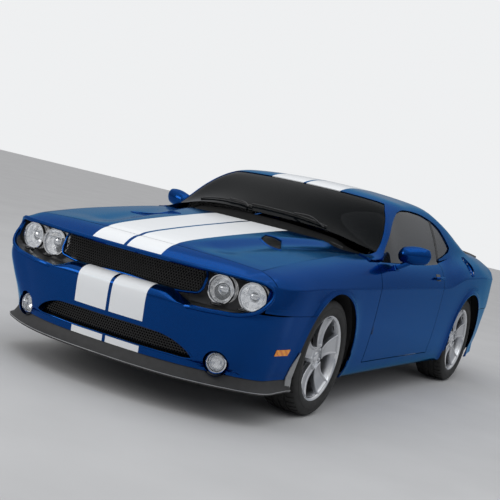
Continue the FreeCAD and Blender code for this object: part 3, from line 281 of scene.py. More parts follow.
def nose_line(points):
    """Corner points (x, z) in mm as (a, z) points."""
    return np.array([(nose_place(x / 1000, z / 1000), z / 1000) for x, z in points])


def side_place(s, join, way):
    """Plan place of a station on the body side, past the join with the nose or the stern."""
    return 4 + way * (s - join) / 0.2


# ---------------------------------------------------------------- hood, deck and roof
def hood_z(x, s):
    """Height of the nose top and hood: a crown with a raised middle that widens towards the screen."""
    row = follow(SIDE, np.ravel(s) * 1000) / 1000
    edge_x, edge_z, mid = (row[:, k].reshape(np.shape(s)) for k in (10, 11, 12))
    q = np.abs(x) / edge_x
    ease = np.clip((s + 0.86) / 0.3, 0, 1)
    lift = 0.02 * ease * ease * (3 - 2 * ease)
    edge = np.interp(s, (-0.9, 0.0, 0.45, 0.7), (0.29, 0.4, 0.54, 0.58))
    t = np.clip((np.abs(x) - edge + 0.05) / 0.11, 0, 1)
    bump = 1 - t * t * (3 - 2 * t)
    crown = edge_z + (mid - lift - edge_z) * (1 - q ** 2.2)
    valley = -0.007 * ease * np.exp(-((np.abs(x) - edge - 0.1) / 0.07) ** 2)
    return crown + lift * bump + valley


def on_hood(x, s):
    """Points on the hood surface."""
    return np.stack([x, s + FRONT_Y, hood_z(x, s)], -1)


def on_deck(x, s):
    """Points on the trunk deck surface."""
    row = follow(SIDE, np.ravel(s) * 1000) / 1000
    edge_x, edge_z, mid = (row[:, k].reshape(np.shape(s)) for k in (10, 11, 12))
    z = edge_z + (mid - edge_z) * (1 - (np.abs(x) / edge_x) ** 2.4)
    return np.stack([x, s + FRONT_Y, z], -1)


HOUSE_START = 0.44


def house_skin():
    """Section lines of the glasshouse from the middle (w 0) over the rail (w 1) to the belt (w 2)."""
    stations = np.arange(HOUSE_START, 3.1401, STEP)
    roof = follow(GLASSHOUSE, stations * 1000) / 1000
    body = follow(SIDE, stations * 1000) / 1000
    rail_x, rail_z, mid = roof.T
    rail_x = rail_x + 0.028 * np.exp(-((stations - 1.02) / 0.15) ** 2)
    belt_x, belt_z = body[:, 8] - 0.002, body[:, 9]
    q = np.linspace(0, 1, 41)[None]
    top = np.stack([rail_x[:, None] * q, rail_z[:, None] + (mid - rail_z)[:, None] * (1 - q ** 2.3)], -1)
    q = np.linspace(0, 1, 41)[None, 1:]
    side = np.stack([rail_x[:, None] + (belt_x - rail_x)[:, None] * q + 0.02 * np.sin(pi * q),
                     rail_z[:, None] + (belt_z - rail_z)[:, None] * q], -1)
    line_x, line_z = body[:, 6], body[:, 7]
    run = np.stack([line_x - belt_x, line_z - belt_z], 1)
    bulge = np.stack([-run[:, 1], run[:, 0]], 1)[:, None] * 0.1 * np.sin(pi * q)[..., None]
    belt = np.stack([belt_x, belt_z], 1)[:, None]
    shoulder = belt + run[:, None] * q[..., None] + bulge
    grid = np.concatenate([top, side, shoulder], 1)
    weight = np.ones(grid.shape[1])
    weight[:2] = 0
    flow_in = np.clip((stations - 2.15) / 0.3, 0, 1)[:, None, None]
    firm = relax(grid.copy(), 14, weight)
    soft = relax(grid.copy(), 70, weight)
    near_belt = np.clip(1 - np.abs(np.arange(grid.shape[1]) - 80) / 26, 0, 1)[None, :, None]
    share = flow_in * np.minimum(near_belt * 2, 1)
    result = firm * (1 - share) + soft * share
    fixed = (1 - flow_in) * np.clip(1 - np.abs(np.arange(grid.shape[1]) - 80) / 6, 0, 1)[None, :, None]
    return result * (1 - fixed) + grid * fixed


HOUSE = house_skin()


def on_house(s, w, inset=0.0):
    """Points of the roof and windows; inset moves them in along the surface's own direction."""
    s, w = np.broadcast_arrays(np.asarray(s, float), np.asarray(w, float))

    def place(s, w):
        p = look_up(HOUSE, (s - HOUSE_START) / STEP, w * 40)
        return np.stack([p[..., 0], s + FRONT_Y, p[..., 1]], -1)

    p = place(s, w)
    if inset:
        ds = place(s + 0.01, w) - place(s - 0.01, w)
        dw = place(s, w + 0.03) - place(s, np.maximum(w - 0.03, 0))
        n = np.cross(dw, ds)
        n /= np.linalg.norm(n, axis=-1)[..., None]
        p = p - n * np.sign(n[..., 2:3] + 1e-9) * inset if np.all(w < 1) else p - n * inset
    return p


def house_place(s, z):
    """Section place w of a point on the side windows."""
    s, z = np.broadcast_arrays(np.asarray(s, float), np.asarray(z, float))
    rows = np.clip((s - HOUSE_START) / STEP, 0, len(HOUSE) - 1.001).ravel()
    share = (rows % 1)[:, None]
    heights = HOUSE[rows.astype(int), 40:, 1] * (1 - share) + HOUSE[rows.astype(int) + 1, 40:, 1] * share
    places = np.arange(40, 121) / 40
    return np.array([np.interp(-h, -row, places) for row, h in zip(heights, z.ravel())]).reshape(s.shape)


def house_line(points, count=0, smooth=False):
    """Places along a line over the side glass, from corners in mm, straight or smooth."""
    path = np.array(points, float) / 1000
    path = (flow if smooth else spread)(path, count or len(path))
    return np.stack([path[:, 0], house_place(path[:, 0], path[:, 1])], 1)


# ---------------------------------------------------------------- patches and shells
def patch(bottom, top, left, right, rows=None):
    """Grid of points between four edges; left and right run from the bottom up, spaced by rows."""
    b, t, l, r = (np.array(e, float) for e in (bottom, top, left, right))
    v = np.linspace(0, 1, len(l)) if rows is None else np.array(rows)
    if rows is not None:
        fine = np.linspace(0, 1, 400)
        l, r = (np.stack([np.interp(v, fine, column) for column in spread(e, 400).T], 1) for e in (l, r))
    u = np.linspace(0, 1, len(b))[:, None, None]
    v = v[None, :, None]
    return ((1 - v) * b[:, None] + v * t[:, None] + (1 - u) * l[None] + u * r[None]
            - (1 - u) * (1 - v) * b[0] - u * (1 - v) * b[-1] - (1 - u) * v * t[0] - u * v * t[-1])


def directions(p):
    """Unit normals of a grid of points."""
    n = np.cross(np.gradient(p, axis=0), np.gradient(p, axis=1))
    return n / np.maximum(np.linalg.norm(n, axis=-1), 1e-12)[..., None]


def finish_piece(piece, body, finish, smooth=35, replaces=()):
    """Shades a piece, gives it a finish, sets it on its body and hides the parts it replaces."""
    piece.data.materials.clear()
    piece.data.materials.append(FINISHES[finish])
    only(piece)
    if smooth:
        bpy.ops.object.shade_smooth_by_angle(angle=radians(smooth), keep_sharp_edges=True)
    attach(piece, body)
    if replaces:
        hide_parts(*replaces)
    return piece


def only(piece):
    """Makes one piece the selected and active one."""
    bpy.ops.object.select_all(action="DESELECT")
    piece.select_set(True)
    bpy.context.view_layer.objects.active = piece


def from_points(name, points, faces):
    """Mesh object from its points and faces."""
    mesh = bpy.data.meshes.new(name)
    mesh.from_pydata([tuple(p) for p in points], [], faces)
    piece = bpy.data.objects.new(name, mesh)
    bpy.context.scene.collection.objects.link(piece)
    return piece


def open_hole(piece, middle, way, radius):
    """Round hole in a sheet, seen along a direction; the points round it move onto the circle."""
    middle, way = Vector(middle), Vector(way).normalized()
    mesh = bmesh.new()
    mesh.from_mesh(piece.data)

    def off(p):
        return (p - middle) - way * (p - middle).dot(way)

    gone = [f for f in mesh.faces if off(f.calc_center_median()).length < radius
            and abs((f.calc_center_median() - middle).dot(way)) < 0.12]
    rim = {v for f in gone for v in f.verts}
    bmesh.ops.delete(mesh, geom=gone, context="FACES")
    for v in rim:
        if v.is_valid:
            v.co += off(v.co).normalized() * (radius - off(v.co).length)
    mesh.to_mesh(piece.data)
    mesh.free()


def grid_faces(grid, first):
    """Faces between the points of a grid, whose first point has a number."""
    rows, columns = grid.shape[:2]
    corners = [first + i * columns + j for i in range(rows - 1) for j in range(columns - 1)]
    return [(k, k + columns, k + columns + 1, k + 1) for k in corners]


def shell(name, grids, wall, outward, shift=None, holes=()):
    """Sheet from grids of outer points that share edges, thickened inwards or by a straight shift."""
    points, faces = [], []
    for p in grids:
        if np.sum(directions(p) * np.array(outward)) < 0:
            p = p[:, ::-1]
        faces += grid_faces(p, len(points))
        points += list(p.reshape(-1, 3))
    piece = from_points(name, points, faces)
    weld(piece)
    for hole in holes:
        open_hole(piece, *hole)
    if shift is None:
        modify(piece, "SOLIDIFY", thickness=wall, offset=-1)
    else:
        with editing(piece):
            bpy.ops.mesh.select_all(action="SELECT")
            bpy.ops.mesh.extrude_region_move(TRANSFORM_OT_translate={"value": shift})
            bpy.ops.mesh.select_all(action="SELECT")
            bpy.ops.mesh.normals_make_consistent(inside=False)
    return piece


def weld(piece, distance=0.0004):
    """Joins doubled points."""
    mesh = bmesh.new()
    mesh.from_mesh(piece.data)
    bmesh.ops.remove_doubles(mesh, verts=mesh.verts, dist=distance)
    bmesh.ops.dissolve_degenerate(mesh, dist=1e-5, edges=mesh.edges)
    mesh.to_mesh(piece.data)
    mesh.free()


def both_sides(grid):
    """A grid on the car's left and its mirror image."""
    return grid, grid * np.array([-1, 1, 1])


SIDES = ((1, "left"), (-1, "right"))


# ---------------------------------------------------------------- painted panels
def rectangle(s0, s1, v0, v1, columns, rows):
    """Edges of a panel between two stations and two section places."""
    s, v = np.linspace(s0, s1, columns), np.linspace(v0, v1, rows)
    return patch(np.stack([s, np.full(columns, v0)], 1), np.stack([s, np.full(columns, v1)], 1),
                 np.stack([np.full(rows, s0), v], 1), np.stack([np.full(rows, s1), v], 1))


def side_grid(g):
    """Points on the body side for a grid of places."""
    return on_side(g[..., 0], g[..., 1])


def quarter_upper(g):
    """Shoulder of the quarter panel, which flows from the door's section into the rear pillar."""
    s, v = g[..., 0], g[..., 1]
    share = np.clip((s - 2.15) / 0.25, 0, 1)[..., None]
    share = share * share * (3 - 2 * share)
    fade = np.clip((3.46 - s) / 0.32, 0, 1)[..., None]
    fade = fade * fade * (3 - 2 * fade)
    near = np.minimum(s, 3.14)
    offset = on_house(near, 3 - (v - LINE) / 2) - on_side(near, v)
    return on_side(s, v) + offset * share * fade


TAIL_EDGE = 3.806                                 # station where the tail panel meets the quarter panels
STERN_PLACES = np.linspace(1.8, 4.0, 90)
STERN_LEVELS = np.arange(0.62, 0.9001, 0.02)
STERN_ROWS = np.stack([on_end(STERN_SKIN, STERN_PLACES, np.full(90, z)) for z in STERN_LEVELS])


def stern_end(z):
    """Plan place on the stern where it meets the quarter panel at a height."""
    ends = [np.interp(-TAIL_EDGE, -(row[:, 1] - FRONT_Y), STERN_PLACES) for row in STERN_ROWS]
    return np.interp(z, STERN_LEVELS, ends)


def tuck(p):
    """Draws the rear end of the body side in until it meets the stern."""
    flat = p.reshape(-1, 3).copy()
    s, z = flat[:, 1] - FRONT_Y, flat[:, 2]
    share = np.clip((s - 3.56) / 0.22, 0, 1)
    fade = np.clip(1 - (z - 0.9) / 0.13, 0, 1)
    share = share * share * (3 - 2 * share) * fade * fade * (3 - 2 * fade)
    for k in np.nonzero(share > 0)[0]:
        level = np.clip((z[k] - 0.62) / 0.02, 0, len(STERN_LEVELS) - 1.001)
        rows = STERN_ROWS[int(level)], STERN_ROWS[int(level) + 1]
        near = [np.interp(-s[k], -(row[:, 1] - FRONT_Y), row[:, 0]) for row in rows]
        target = near[0] + (near[1] - near[0]) * (level % 1)
        flat[k, 0] += (target - flat[k, 0]) * share[k]
    return flat.reshape(p.shape)


def mirrored_pair(word, grids, wall, body, finish, replaced, shift=None, hole=None):
    """One panel on each side; body and replaced hold {side} for left or right. A hole is on the left."""
    made = []
    for side, name in SIDES:
        flip = np.array([side, 1, 1])
        move = None if shift is None else Vector(flip * shift)
        piece = shell(f"{name}_{word}", [g * flip for g in grids], wall, (side, 0, 0.5), move,
                      [hole] if hole and side > 0 else [])
        nodes = [n.format(side=name) for n in replaced]
        made.append(finish_piece(piece, body.format(side=name), finish, replaces=nodes))
    return made


ARCH_ROWS = np.concatenate([np.linspace(0, 0.3, 22), np.linspace(0.3, 1, 16)[1:]])
FENDER_REAR, DOOR_FRONT, DOOR_REAR, QUARTER_FRONT, QUARTER_REAR = 712.0, 720.0, 2105.0, 2111.0, 3800.0
DOOR_LOW, SILL_TOP = 300.0, 294.0
HINGE_HEIGHTS = (0.54, 0.74)


def make_fenders():
    """Front fenders with their wheel arch edge."""
    edge = chain(spread([(-835, 649), (-600, 643.5), (-302, 641.5)], 30), arch_run(0, 138.0, -10.8, 90),
                 spread([(398, SILL_TOP), (FENDER_REAR, SILL_TOP)], 20))
    bottom = side_line(edge)
    top = np.concatenate([np.linspace(-0.805, -0.765, 4), np.linspace(-0.765, 0.712, len(bottom) - 3)[1:]])
    top = np.column_stack([top, np.full(len(top), float(LINE))])
    left = side_line([(-835, 649), (-830, 720), (-805, 797)], 60)
    left[-1] = top[0]
    lower = patch(bottom, top, left, side_line([(FENDER_REAR, SILL_TOP), (FENDER_REAR, 812)], 60), ARCH_ROWS)
    upper = rectangle(-0.765, 0.712, LINE, TOP, len(bottom) - 3, 26)
    lower[:, -1, 1] = LINE
    mirrored_pair("fender", [side_grid(lower), side_grid(upper)], 0.006, "body", "plain_blue",
                         ["{side}_front_fender"])


def make_doors():
    """Door skins with the room cut for their hinges."""
    count = 54
    low = side_line([(DOOR_FRONT, DOOR_LOW), (DOOR_REAR, DOOR_LOW)], count)
    lower = patch(low, np.stack([np.linspace(0.72, 2.105, count), np.full(count, float(LINE))], 1),
                  side_line([(DOOR_FRONT, DOOR_LOW), (DOOR_FRONT, 812)], 26),
                  side_line([(DOOR_REAR, DOOR_LOW), (DOOR_REAR, 830)], 26))
    lower[:, -1, 1] = LINE
    upper = rectangle(0.72, 2.105, LINE, CREST, count, 20)
    made = mirrored_pair("door_panel", [side_grid(lower), side_grid(upper)], 0.1, "{side}_door", "plain_blue",
                         ["{side}_door"], shift=np.array([-0.115, 0, 0]))
    for piece, (side, _) in zip(made, SIDES):
        front, rear = 0.7 + FRONT_Y, 0.83 + FRONT_Y
        for z in HINGE_HEIGHTS:
            low, high = z - 0.055, z + 0.055
            room = [(front, low), (rear, low), (rear, high), (front, high)]
            cut(piece, prism("hinge_room", room, 0, *sorted((side * 0.7, side * 0.918))))


def make_quarters():
    """Quarter panels, with the round hole for the filler on the left one."""
    edge = chain(spread([(QUARTER_FRONT, SILL_TOP), (2548, SILL_TOP)], 22),
                 arch_run(WHEELBASE, 190.8, 42.4, 90),
                 spread([(3245, 643), (3500, 643), (QUARTER_REAR, 645)], 22))
    bottom = side_line(edge)
    split = 74
    rest = len(bottom) - split + 1
    top = np.concatenate([np.linspace(2.111, 3.14, split), np.linspace(3.14, 3.8, rest)[1:]])
    top = np.column_stack([top, np.full(len(bottom), float(LINE))])
    lower = patch(bottom, top, side_line([(QUARTER_FRONT, SILL_TOP), (QUARTER_FRONT, 830)], 60),
                  side_line([(QUARTER_REAR, 645), (QUARTER_REAR, 905)], 60), ARCH_ROWS)
    lower[:, -1, 1] = LINE
    front = rectangle(2.111, 3.14, LINE, CREST, split, 20)
    rear = rectangle(3.14, 3.8, LINE, CREST, rest, 20)
    deck = rectangle(3.14, 3.8, CREST, TOP, rest, 6)
    join = np.clip((deck[..., 1] - CREST) / (TOP - CREST), 0, 1)[..., None]
    edge_row = quarter_upper(deck[:, :1] * [1, 0] + [0, CREST])
    deck_grid = side_grid(deck) * join + edge_row * (1 - join)
    grids = [tuck(g) for g in (side_grid(lower), quarter_upper(front), quarter_upper(rear), deck_grid)]
    middle, way, r, _ = filler_place()
    mirrored_pair("quarter", grids, 0.006, "body", "plain_blue", ["{side}_quarter_panel"],
                  hole=(middle, way, r + 0.022))


def filler_place():
    """Middle, direction and radius of the filler door's outer face, and how far the body rises over it."""
    low, high = (Vector(p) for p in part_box("fuel_door"))
    way, r = Vector((sin(FUEL_TILT), 0, cos(FUEL_TILT))), (high.y - low.y) / 2
    middle = (low + high) / 2
    s, v = np.meshgrid(np.linspace(2.76, 2.96, 21), np.linspace(LINE, CREST, 41))
    near = quarter_upper(np.stack([s, v], -1)).reshape(-1, 3) - np.array(middle)
    high_by = near @ np.array(way)
    apart = np.linalg.norm(near - high_by[:, None] * np.array(way), axis=1)
    rim = float(high_by[np.abs(apart - r - 0.014) < 0.008].max()) - 0.0075
    return middle + way * 0.0075, way, r, min(rim, 0.003)


def make_fuel_door():
    """Round filler door on the left shoulder with its studs, in a painted ring, and the cup behind it."""
    middle, way, r, rise = filler_place()
    r -= 0.001
    cap = [(-0.008, 0.0), (-0.008, r - 0.004), (-0.002, r - 0.002), (0.0, r - 0.005), (0.0, r - 0.016),
           (-0.003, r - 0.018), (-0.003, 0.03), (0.0, 0.027), (0.0015, 0.02), (0.0015, 0.0)]
    finish_piece(turned("fuel_door_cap", cap, middle, way, 72), "fuel_door", "plain_blue", 30, ["fuel_door"])
    stud = [(-0.001, 0.0), (-0.001, 0.0055), (0.0025, 0.005), (0.0035, 0.003), (0.0035, 0.0)]
    arm = Vector((0, r - 0.0105, 0))
    studs = [turned("stud", stud, middle + Matrix.Rotation(k * pi / 3 + 0.5, 3, way) @ arm, way, 16)
             for k in range(6)]
    finish_piece(joined("fuel_door_studs", studs), "fuel_door", "lip", 30)
    ring = [(-0.03, r + 0.004), (-0.012, r + 0.005), (min(rise, 0.0), r + 0.016), (rise, r + 0.017),
            (rise + 0.002, r + 0.021), (rise - 0.001, r + 0.027), (-0.014, r + 0.027), (-0.03, r + 0.012)]
    finish_piece(turned("fuel_ring", ring, middle, way, 72), "body", "plain_blue", 30)
    cup = [(-0.075, 0.0), (-0.075, r - 0.002), (-0.02, r + 0.008), (-0.02, r + 0.011), (-0.08, r + 0.001),
           (-0.08, 0.0)]
    finish_piece(turned("fuel_cup", cup, middle - way * 0.006, way, 48), "body", "trim", 30)
    neck = [(-0.078, 0.0), (-0.078, 0.034), (-0.04, 0.034), (-0.036, 0.03), (-0.034, 0.012), (-0.028, 0.01),
            (-0.028, 0.0)]
    finish_piece(turned("filler_neck", neck, middle, way, 40), "body", "gloss", 30)


FUEL_TILT = 0.8116                                # filler door's lean out from upright, radians


def make_hood():
    """Hood with its two vent openings."""
    q = np.linspace(-1, 1, 121)
    x = 0.762 * q
    front = -0.846 + 0.087 * np.abs(q) ** 2
    rear = 0.45 + 0.2 * np.abs(q) ** 2.1
    s = front[:, None] + (rear - front)[:, None] * np.linspace(0, 1, 91)[None]
    piece = shell("hood_panel", [on_hood(np.broadcast_to(x[:, None], s.shape), s)], 0.018, (0, 0, 1))
    for side, _ in SIDES:
        outline = [(side * x, s + FRONT_Y) for x, s in VENT]
        cut(piece, prism("vent_cut", outline, 2, 0.7, 1.3))
    finish_piece(piece, "hood", "paint", replaces=["hood"])


VENT = [(0.372, -0.085), (0.322, 0.075), (0.436, 0.1), (0.56, -0.15)]    # corners (x, s) of a hood vent


def make_vents():
    """Sunken air vents in the hood, each with a raised painted edge and a fine mesh."""
    a, b, c, d = np.array(VENT)
    edge = spread(np.array(VENT + VENT[:1]), 80)
    rim = on_hood(edge[:, 0], edge[:, 1])[:-1]
    tray = patch(spread([a, b], 16), spread([d, c], 16), spread([a, d], 16), spread([b, c], 16))
    tray = on_hood(tray[..., 0], tray[..., 1])
    # slats across and along: shares from and to, count, sides, depth, lean, upper depth, thickness, way
    runs = ((0.06, 0.94, 9, (a, b, d, c), 0.016, 0.012, 0.004, 0.0025, (0, 0, 1)),
            (0.08, 0.92, 14, (a, d, b, c), 0.02, 0.0, 0.01, 0.0022, (1, 0, 0)))
    for side, name in SIDES:
        flip = [side, 1, 1]
        tube(f"{name}_vent_edge", rim * flip + [0, 0, -0.001], 0.0055, "hood", "plain_blue")
        finish_piece(shell(f"{name}_vent_tray", [tray * flip - [0, 0, 0.03]], 0.004, (0, 0, 1)), "hood",
                     "trim")
        slats = []
        for first, last, count, (p, q, u, v), deep, lean_by, shallow, thick, outward in runs:
            for t in np.linspace(first, last, count):
                line = spread([p + (q - p) * t, u + (v - u) * t], 24)
                low = on_hood(line[:, 0], line[:, 1]) - [0, 0, deep]
                high = on_hood(line[:, 0], line[:, 1] - lean_by) - [0, 0, shallow]
                slats.append(shell("slat", [np.stack([low, high], 1) * flip], thick, outward))
        finish_piece(joined(f"{name}_vent_mesh", slats), "hood", "gloss")


def make_trunk_lid():
    """Trunk lid with its rear face."""
    x = np.linspace(-0.664, 0.664, 61)
    s = np.linspace(3.172, 3.935, 41)
    top = on_deck(*np.broadcast_arrays(x[:, None], s[None]))
    drop = np.linspace(0, 1, 9)[None, :, None]
    edge = top[:, -1:]
    low = edge * [1, 1, 0] + [0, 0.004, 0.9]
    face = edge * (1 - drop) + low * drop
    face[..., 1] += 0.006 * np.sin(pi * drop[..., 0])
    piece = shell("trunk_lid_panel", [top, face], 0.018, (0, 0.3, 1))
    finish_piece(piece, "trunk_lid", "paint", replaces=["trunk_lid"])


def lip_point(x):
    """Leading edge of the nose above the lamps, at a distance from the middle."""
    return on_end(NOSE_SKIN, nose_place(x, 0.81), 0.81)


BROW_HALF = 0.48                                  # half width of the bumper's rolled top
INTAKE = [(0, 413), (250, 412), (380, 403), (462, 376), (525, 334), (548, 304)]


def nose_side(s):
    """Plan place of a station on the body side, for edges that run on from the nose."""
    return side_place(s, NOSE_JOIN, 1)


def make_fascia():
    """Bumper with the edge round the lower intake and its rolled top, and the header over the lamps."""
    rim = nose_line([(0, 592), (300, 592), (600, 597), (720, 607), (800, 622), (850, 640)])
    end = spread([rim[-1], (nose_side(-0.6), 0.6405), (nose_side(-0.304), 0.6385)], 24)
    intake = spread(flow(nose_line(INTAKE), 60), 34)
    seam = [intake[-1], nose_line([(700, 304)])[0], (nose_side(-0.45), 0.3), (nose_side(-0.397), 0.3)]
    seam = spread(seam, 34)
    arch = arch_run(0, 138.4, 190.0, 28)[::-1] / 1000
    arch = np.stack([nose_side(arch[:, 0]), arch[:, 1]], 1)
    upper = patch(chain(intake, seam), chain(spread(rim, 44), end), spread([(0, 0.413), (0, 0.592)], 28),
                  arch)
    under = spread([(0, 0.302), intake[-1]], 34)
    corner = (nose_side(-0.388), CHIN_Z)
    lower = patch(spread([(0, CHIN_Z), corner], 67), chain(under, seam), spread([(0, CHIN_Z), (0, 0.302)], 6),
                  spread([corner, seam[-1]], 6))
    grids = [on_end(NOSE_SKIN, g[..., 0], g[..., 1]) for g in (upper, lower)]
    edge = grids[0][:, -1]
    edge = edge[edge[:, 0] < BROW_HALF][:, None]
    t = np.linspace(0, pi / 2, 14)
    ease = np.clip((BROW_HALF - edge[..., 0]) / 0.17, 0, 1)
    rise = 0.062 * np.sin(t) * ease * ease * (3 - 2 * ease)
    grids.append(edge + np.stack([0 * rise, 0.098 * (1 - np.cos(t)) + 0 * rise, rise], -1))
    cups = [((side * FOG_X, nose_depth(FOG_X, FOG_Z) + FOG_BACK, FOG_Z), (side * FOG_LEAN, -1, 0), FOG_CUP)
            for side, _ in SIDES]
    bumper = shell("front_bumper", [side for g in grids for side in both_sides(g)], 0.006, (0, -1, 0),
                   holes=cups)
    finish_piece(bumper, "body", "paint", replaces=["front_fascia"])
    finish_piece(shell("nose_header", both_sides(header_grid()), 0.014, (0, -0.4, 1)), "body", "paint")


def header_grid():
    """Left half of the nose top, from the lip over the lamps to the hood's front edge."""
    x = np.linspace(0, 0.762, 46)
    seam = on_hood(x, -0.851 + 0.087 * (x / 0.762) ** 2)
    top = chain(seam, on_side(np.full(16, -0.77), np.linspace(TOP, LINE, 16)))
    lip = np.array([lip_point(q) for q in np.linspace(0, 0.838, 50)])
    corner = np.array([on_side(s, LINE) for s in np.linspace(-0.838, -0.77, 12)])
    bottom = spread(flow(chain(spread(lip, 50), corner[1:]), 90), 61)
    t = np.linspace(0, 1, 15)
    rise = (t ** 3 - 2 * t * t + t) * 2.0 + (3 * t * t - 2 * t ** 3) + (t ** 3 - t * t) * 0.25
    left = bottom[:1] * (1 - t)[:, None] + top[:1] * t[:, None]
    left[:, 2] = bottom[0, 2] + (top[0, 2] - bottom[0, 2]) * rise
    right = bottom[-1:] * (1 - t)[:, None] + top[-1:] * t[:, None]
    return patch(bottom, top, left, right)


def rim_path(inset=0.0, back=0.0):
    """Loop round the recess of lamps and grille; inset moves it into the opening."""
    half = [(0, 592), (400, 592), (640, 599), (780, 617), (850, 650), (880, 700), (884, 745), (868, 785),
            (830, 806), (760, 808), (400, 808), (0, 808)]
    path = flow(half, 70)
    direction = np.gradient(path, axis=0)
    normal = np.stack([-direction[:, 1], direction[:, 0]], 1)
    normal /= np.linalg.norm(normal, axis=1)[:, None]
    path = path + normal * inset * 1000
    path[0, 0] = path[-1, 0] = 0
    points = np.array([on_end(NOSE_SKIN, nose_place(x, z), z) for x, z in path / 1000])
    points[:, 1] += back
    return points


def ring_of(half):
    """Closed loop from a half loop on the car's left."""
    return np.vstack([half, (half * [-1, 1, 1])[-2:0:-1]])


def tube(name, path, radius, body, finish, closed=True):
    """Round bar along a path."""
    curve = bpy.data.curves.new(name, "CURVE")
    curve.dimensions = "3D"
    curve.bevel_depth = radius
    curve.bevel_resolution = 3
    curve.use_fill_caps = not closed
    line = curve.splines.new("POLY")
    line.points.add(len(path) - 1)
    line.points.foreach_set("co", np.column_stack([path, np.ones(len(path))]).ravel())
    line.use_cyclic_u = closed
    piece = bpy.data.objects.new(name, curve)
    bpy.context.scene.collection.objects.link(piece)
    only(piece)
    bpy.ops.object.convert(target="MESH")
    piece = bpy.context.view_layer.objects.active
    weld(piece, 0.00002)
    return finish_piece(piece, body, finish)


def under_brow(ring):
    """Tucks the lower middle of a ring behind the bumper's rolled top."""
    share = np.clip((0.5 - np.abs(ring[:, :1])) / 0.06, 0, 1) * (ring[:, 2:] < 0.63)
    return ring + share * [0, 0.024, -0.012]


def make_recess():
    """Painted edge round the lamps and grille, and the dark box behind it."""
    tube("recess_edge", under_brow(ring_of(rim_path(0.0, -0.002))), 0.013, "body", "plain_blue")
    half = rim_path(0.01, 0.165)
    front, back = under_brow(ring_of(rim_path(0.004, 0.0))), ring_of(half)
    low = [i for i in range(70) if half[i, 2] < 0.7]
    bottom, top = spread(half[low], 40), spread(half[low[-1]:], 40)[::-1]
    floor = patch(bottom, top, spread([bottom[0], top[0]], 10), spread([bottom[-1], top[-1]], 10))
    count = len(front)
    points = [*front, *back]
    faces = [(i, (i + 1) % count, count + (i + 1) % count, count + i) for i in range(count)]
    for grid in both_sides(floor):
        first = len(points)
        rows, columns = grid.shape[:2]
        points += list(grid.reshape(-1, 3))
        faces += [(first + i * columns + j, first + i * columns + j + 1, first + (i + 1) * columns + j + 1,
                   first + (i + 1) * columns + j) for i in range(rows - 1) for j in range(columns - 1)]
    piece = from_points("lamp_recess", points, faces)
    weld(piece, 0.0004)
    modify(piece, "SOLIDIFY", thickness=0.006, offset=0)
    finish_piece(piece, "body", "charcoal")


def modify(piece, kind, **settings):
    """Adds a modifier with its settings and applies it."""
    only(piece)
    modifier = piece.modifiers.new(kind.title(), kind)
    for key, value in settings.items():
        setattr(modifier, key, value)
    bpy.ops.object.modifier_apply(modifier=modifier.name)


LAMP_END = 2.0                                    # plan place where the tail lamp bar stops
LAMP_LOW, LAMP_HIGH = 0.718, 0.866


def make_tail():
    """Panel round the tail with the opening of the lamp bar, and the corners beside the trunk lid."""
    along = np.concatenate([np.linspace(0, 1, 34), 1 + np.linspace(0, 1, 18)[1:]])[:, None]
    grids = []
    for low, high, rows, first in ((0.645, LAMP_LOW, 6, 0), (LAMP_LOW, LAMP_HIGH, 10, 33),
                                   (LAMP_HIGH, 0.9, 5, 0)):
        z = np.linspace(low, high, rows)[None]
        wrap = np.where(along < 1, along * LAMP_END,
                        LAMP_END + (along - 1) * (stern_end(z) - LAMP_END))[first:]
        grids += both_sides(on_end(STERN_SKIN, wrap, z + 0 * wrap))
    inner = 1.42
    rear = on_end(STERN_SKIN, inner, 0.9)
    top_rear = on_side(3.93, TOP)
    low = on_end(STERN_SKIN, np.linspace(inner, stern_end(0.9), 26), np.full(26, 0.9))
    high = on_side(np.linspace(3.93, TAIL_EDGE, 26), np.full(26, float(TOP)))
    t = np.linspace(0, 1, 18)[:, None]
    bow = np.array([0.0, 0.012, 0.01]) * np.sin(pi * t)
    left = rear * (1 - t) + top_rear * t + bow
    right = spread(tuck(quarter_upper(np.stack([np.full(30, TAIL_EDGE), np.linspace(LINE, CREST, 30)], 1))),
                   12)
    right = chain(right, spread(np.array([right[-1], on_side(TAIL_EDGE, TOP)]), 7))
    right = np.vstack([low[-1:], right[1:-1], high[-1:]])
    corner = patch(low, high, left, right)
    grids += both_sides(corner)
    piece = shell("tail_panel_skin", grids, 0.014, (0, 1, 0.3))
    return finish_piece(piece, "body", "paint", replaces=["tail_panel"])


def make_bumper():
    """Rear bumper skin between its lower edge and the tail panel."""
    join, way = STERN_JOIN, -1
    arch = arch_run(WHEELBASE, -26.0, 41.6, 26) / 1000
    arch = np.stack([side_place(arch[:, 0], join, way), arch[:, 1]], 1)
    top = spread([(0, 0.64), (arch[-1][0], 0.64)], 90)
    bottom = spread([(0, 0.275), (2.0, 0.262), (3.4, 0.24), (arch[0][0], arch[0][1])], 90)
    grid = patch(bottom, top, spread([(0, 0.275), (0, 0.64)], 30), spread(arch, 30))
    piece = shell("rear_bumper_skin", both_sides(on_end(STERN_SKIN, grid[..., 0], grid[..., 1])), 0.006,
                  (0, 1, 0))
    return finish_piece(piece, "body", "plain_blue", replaces=["rear_bumper"])


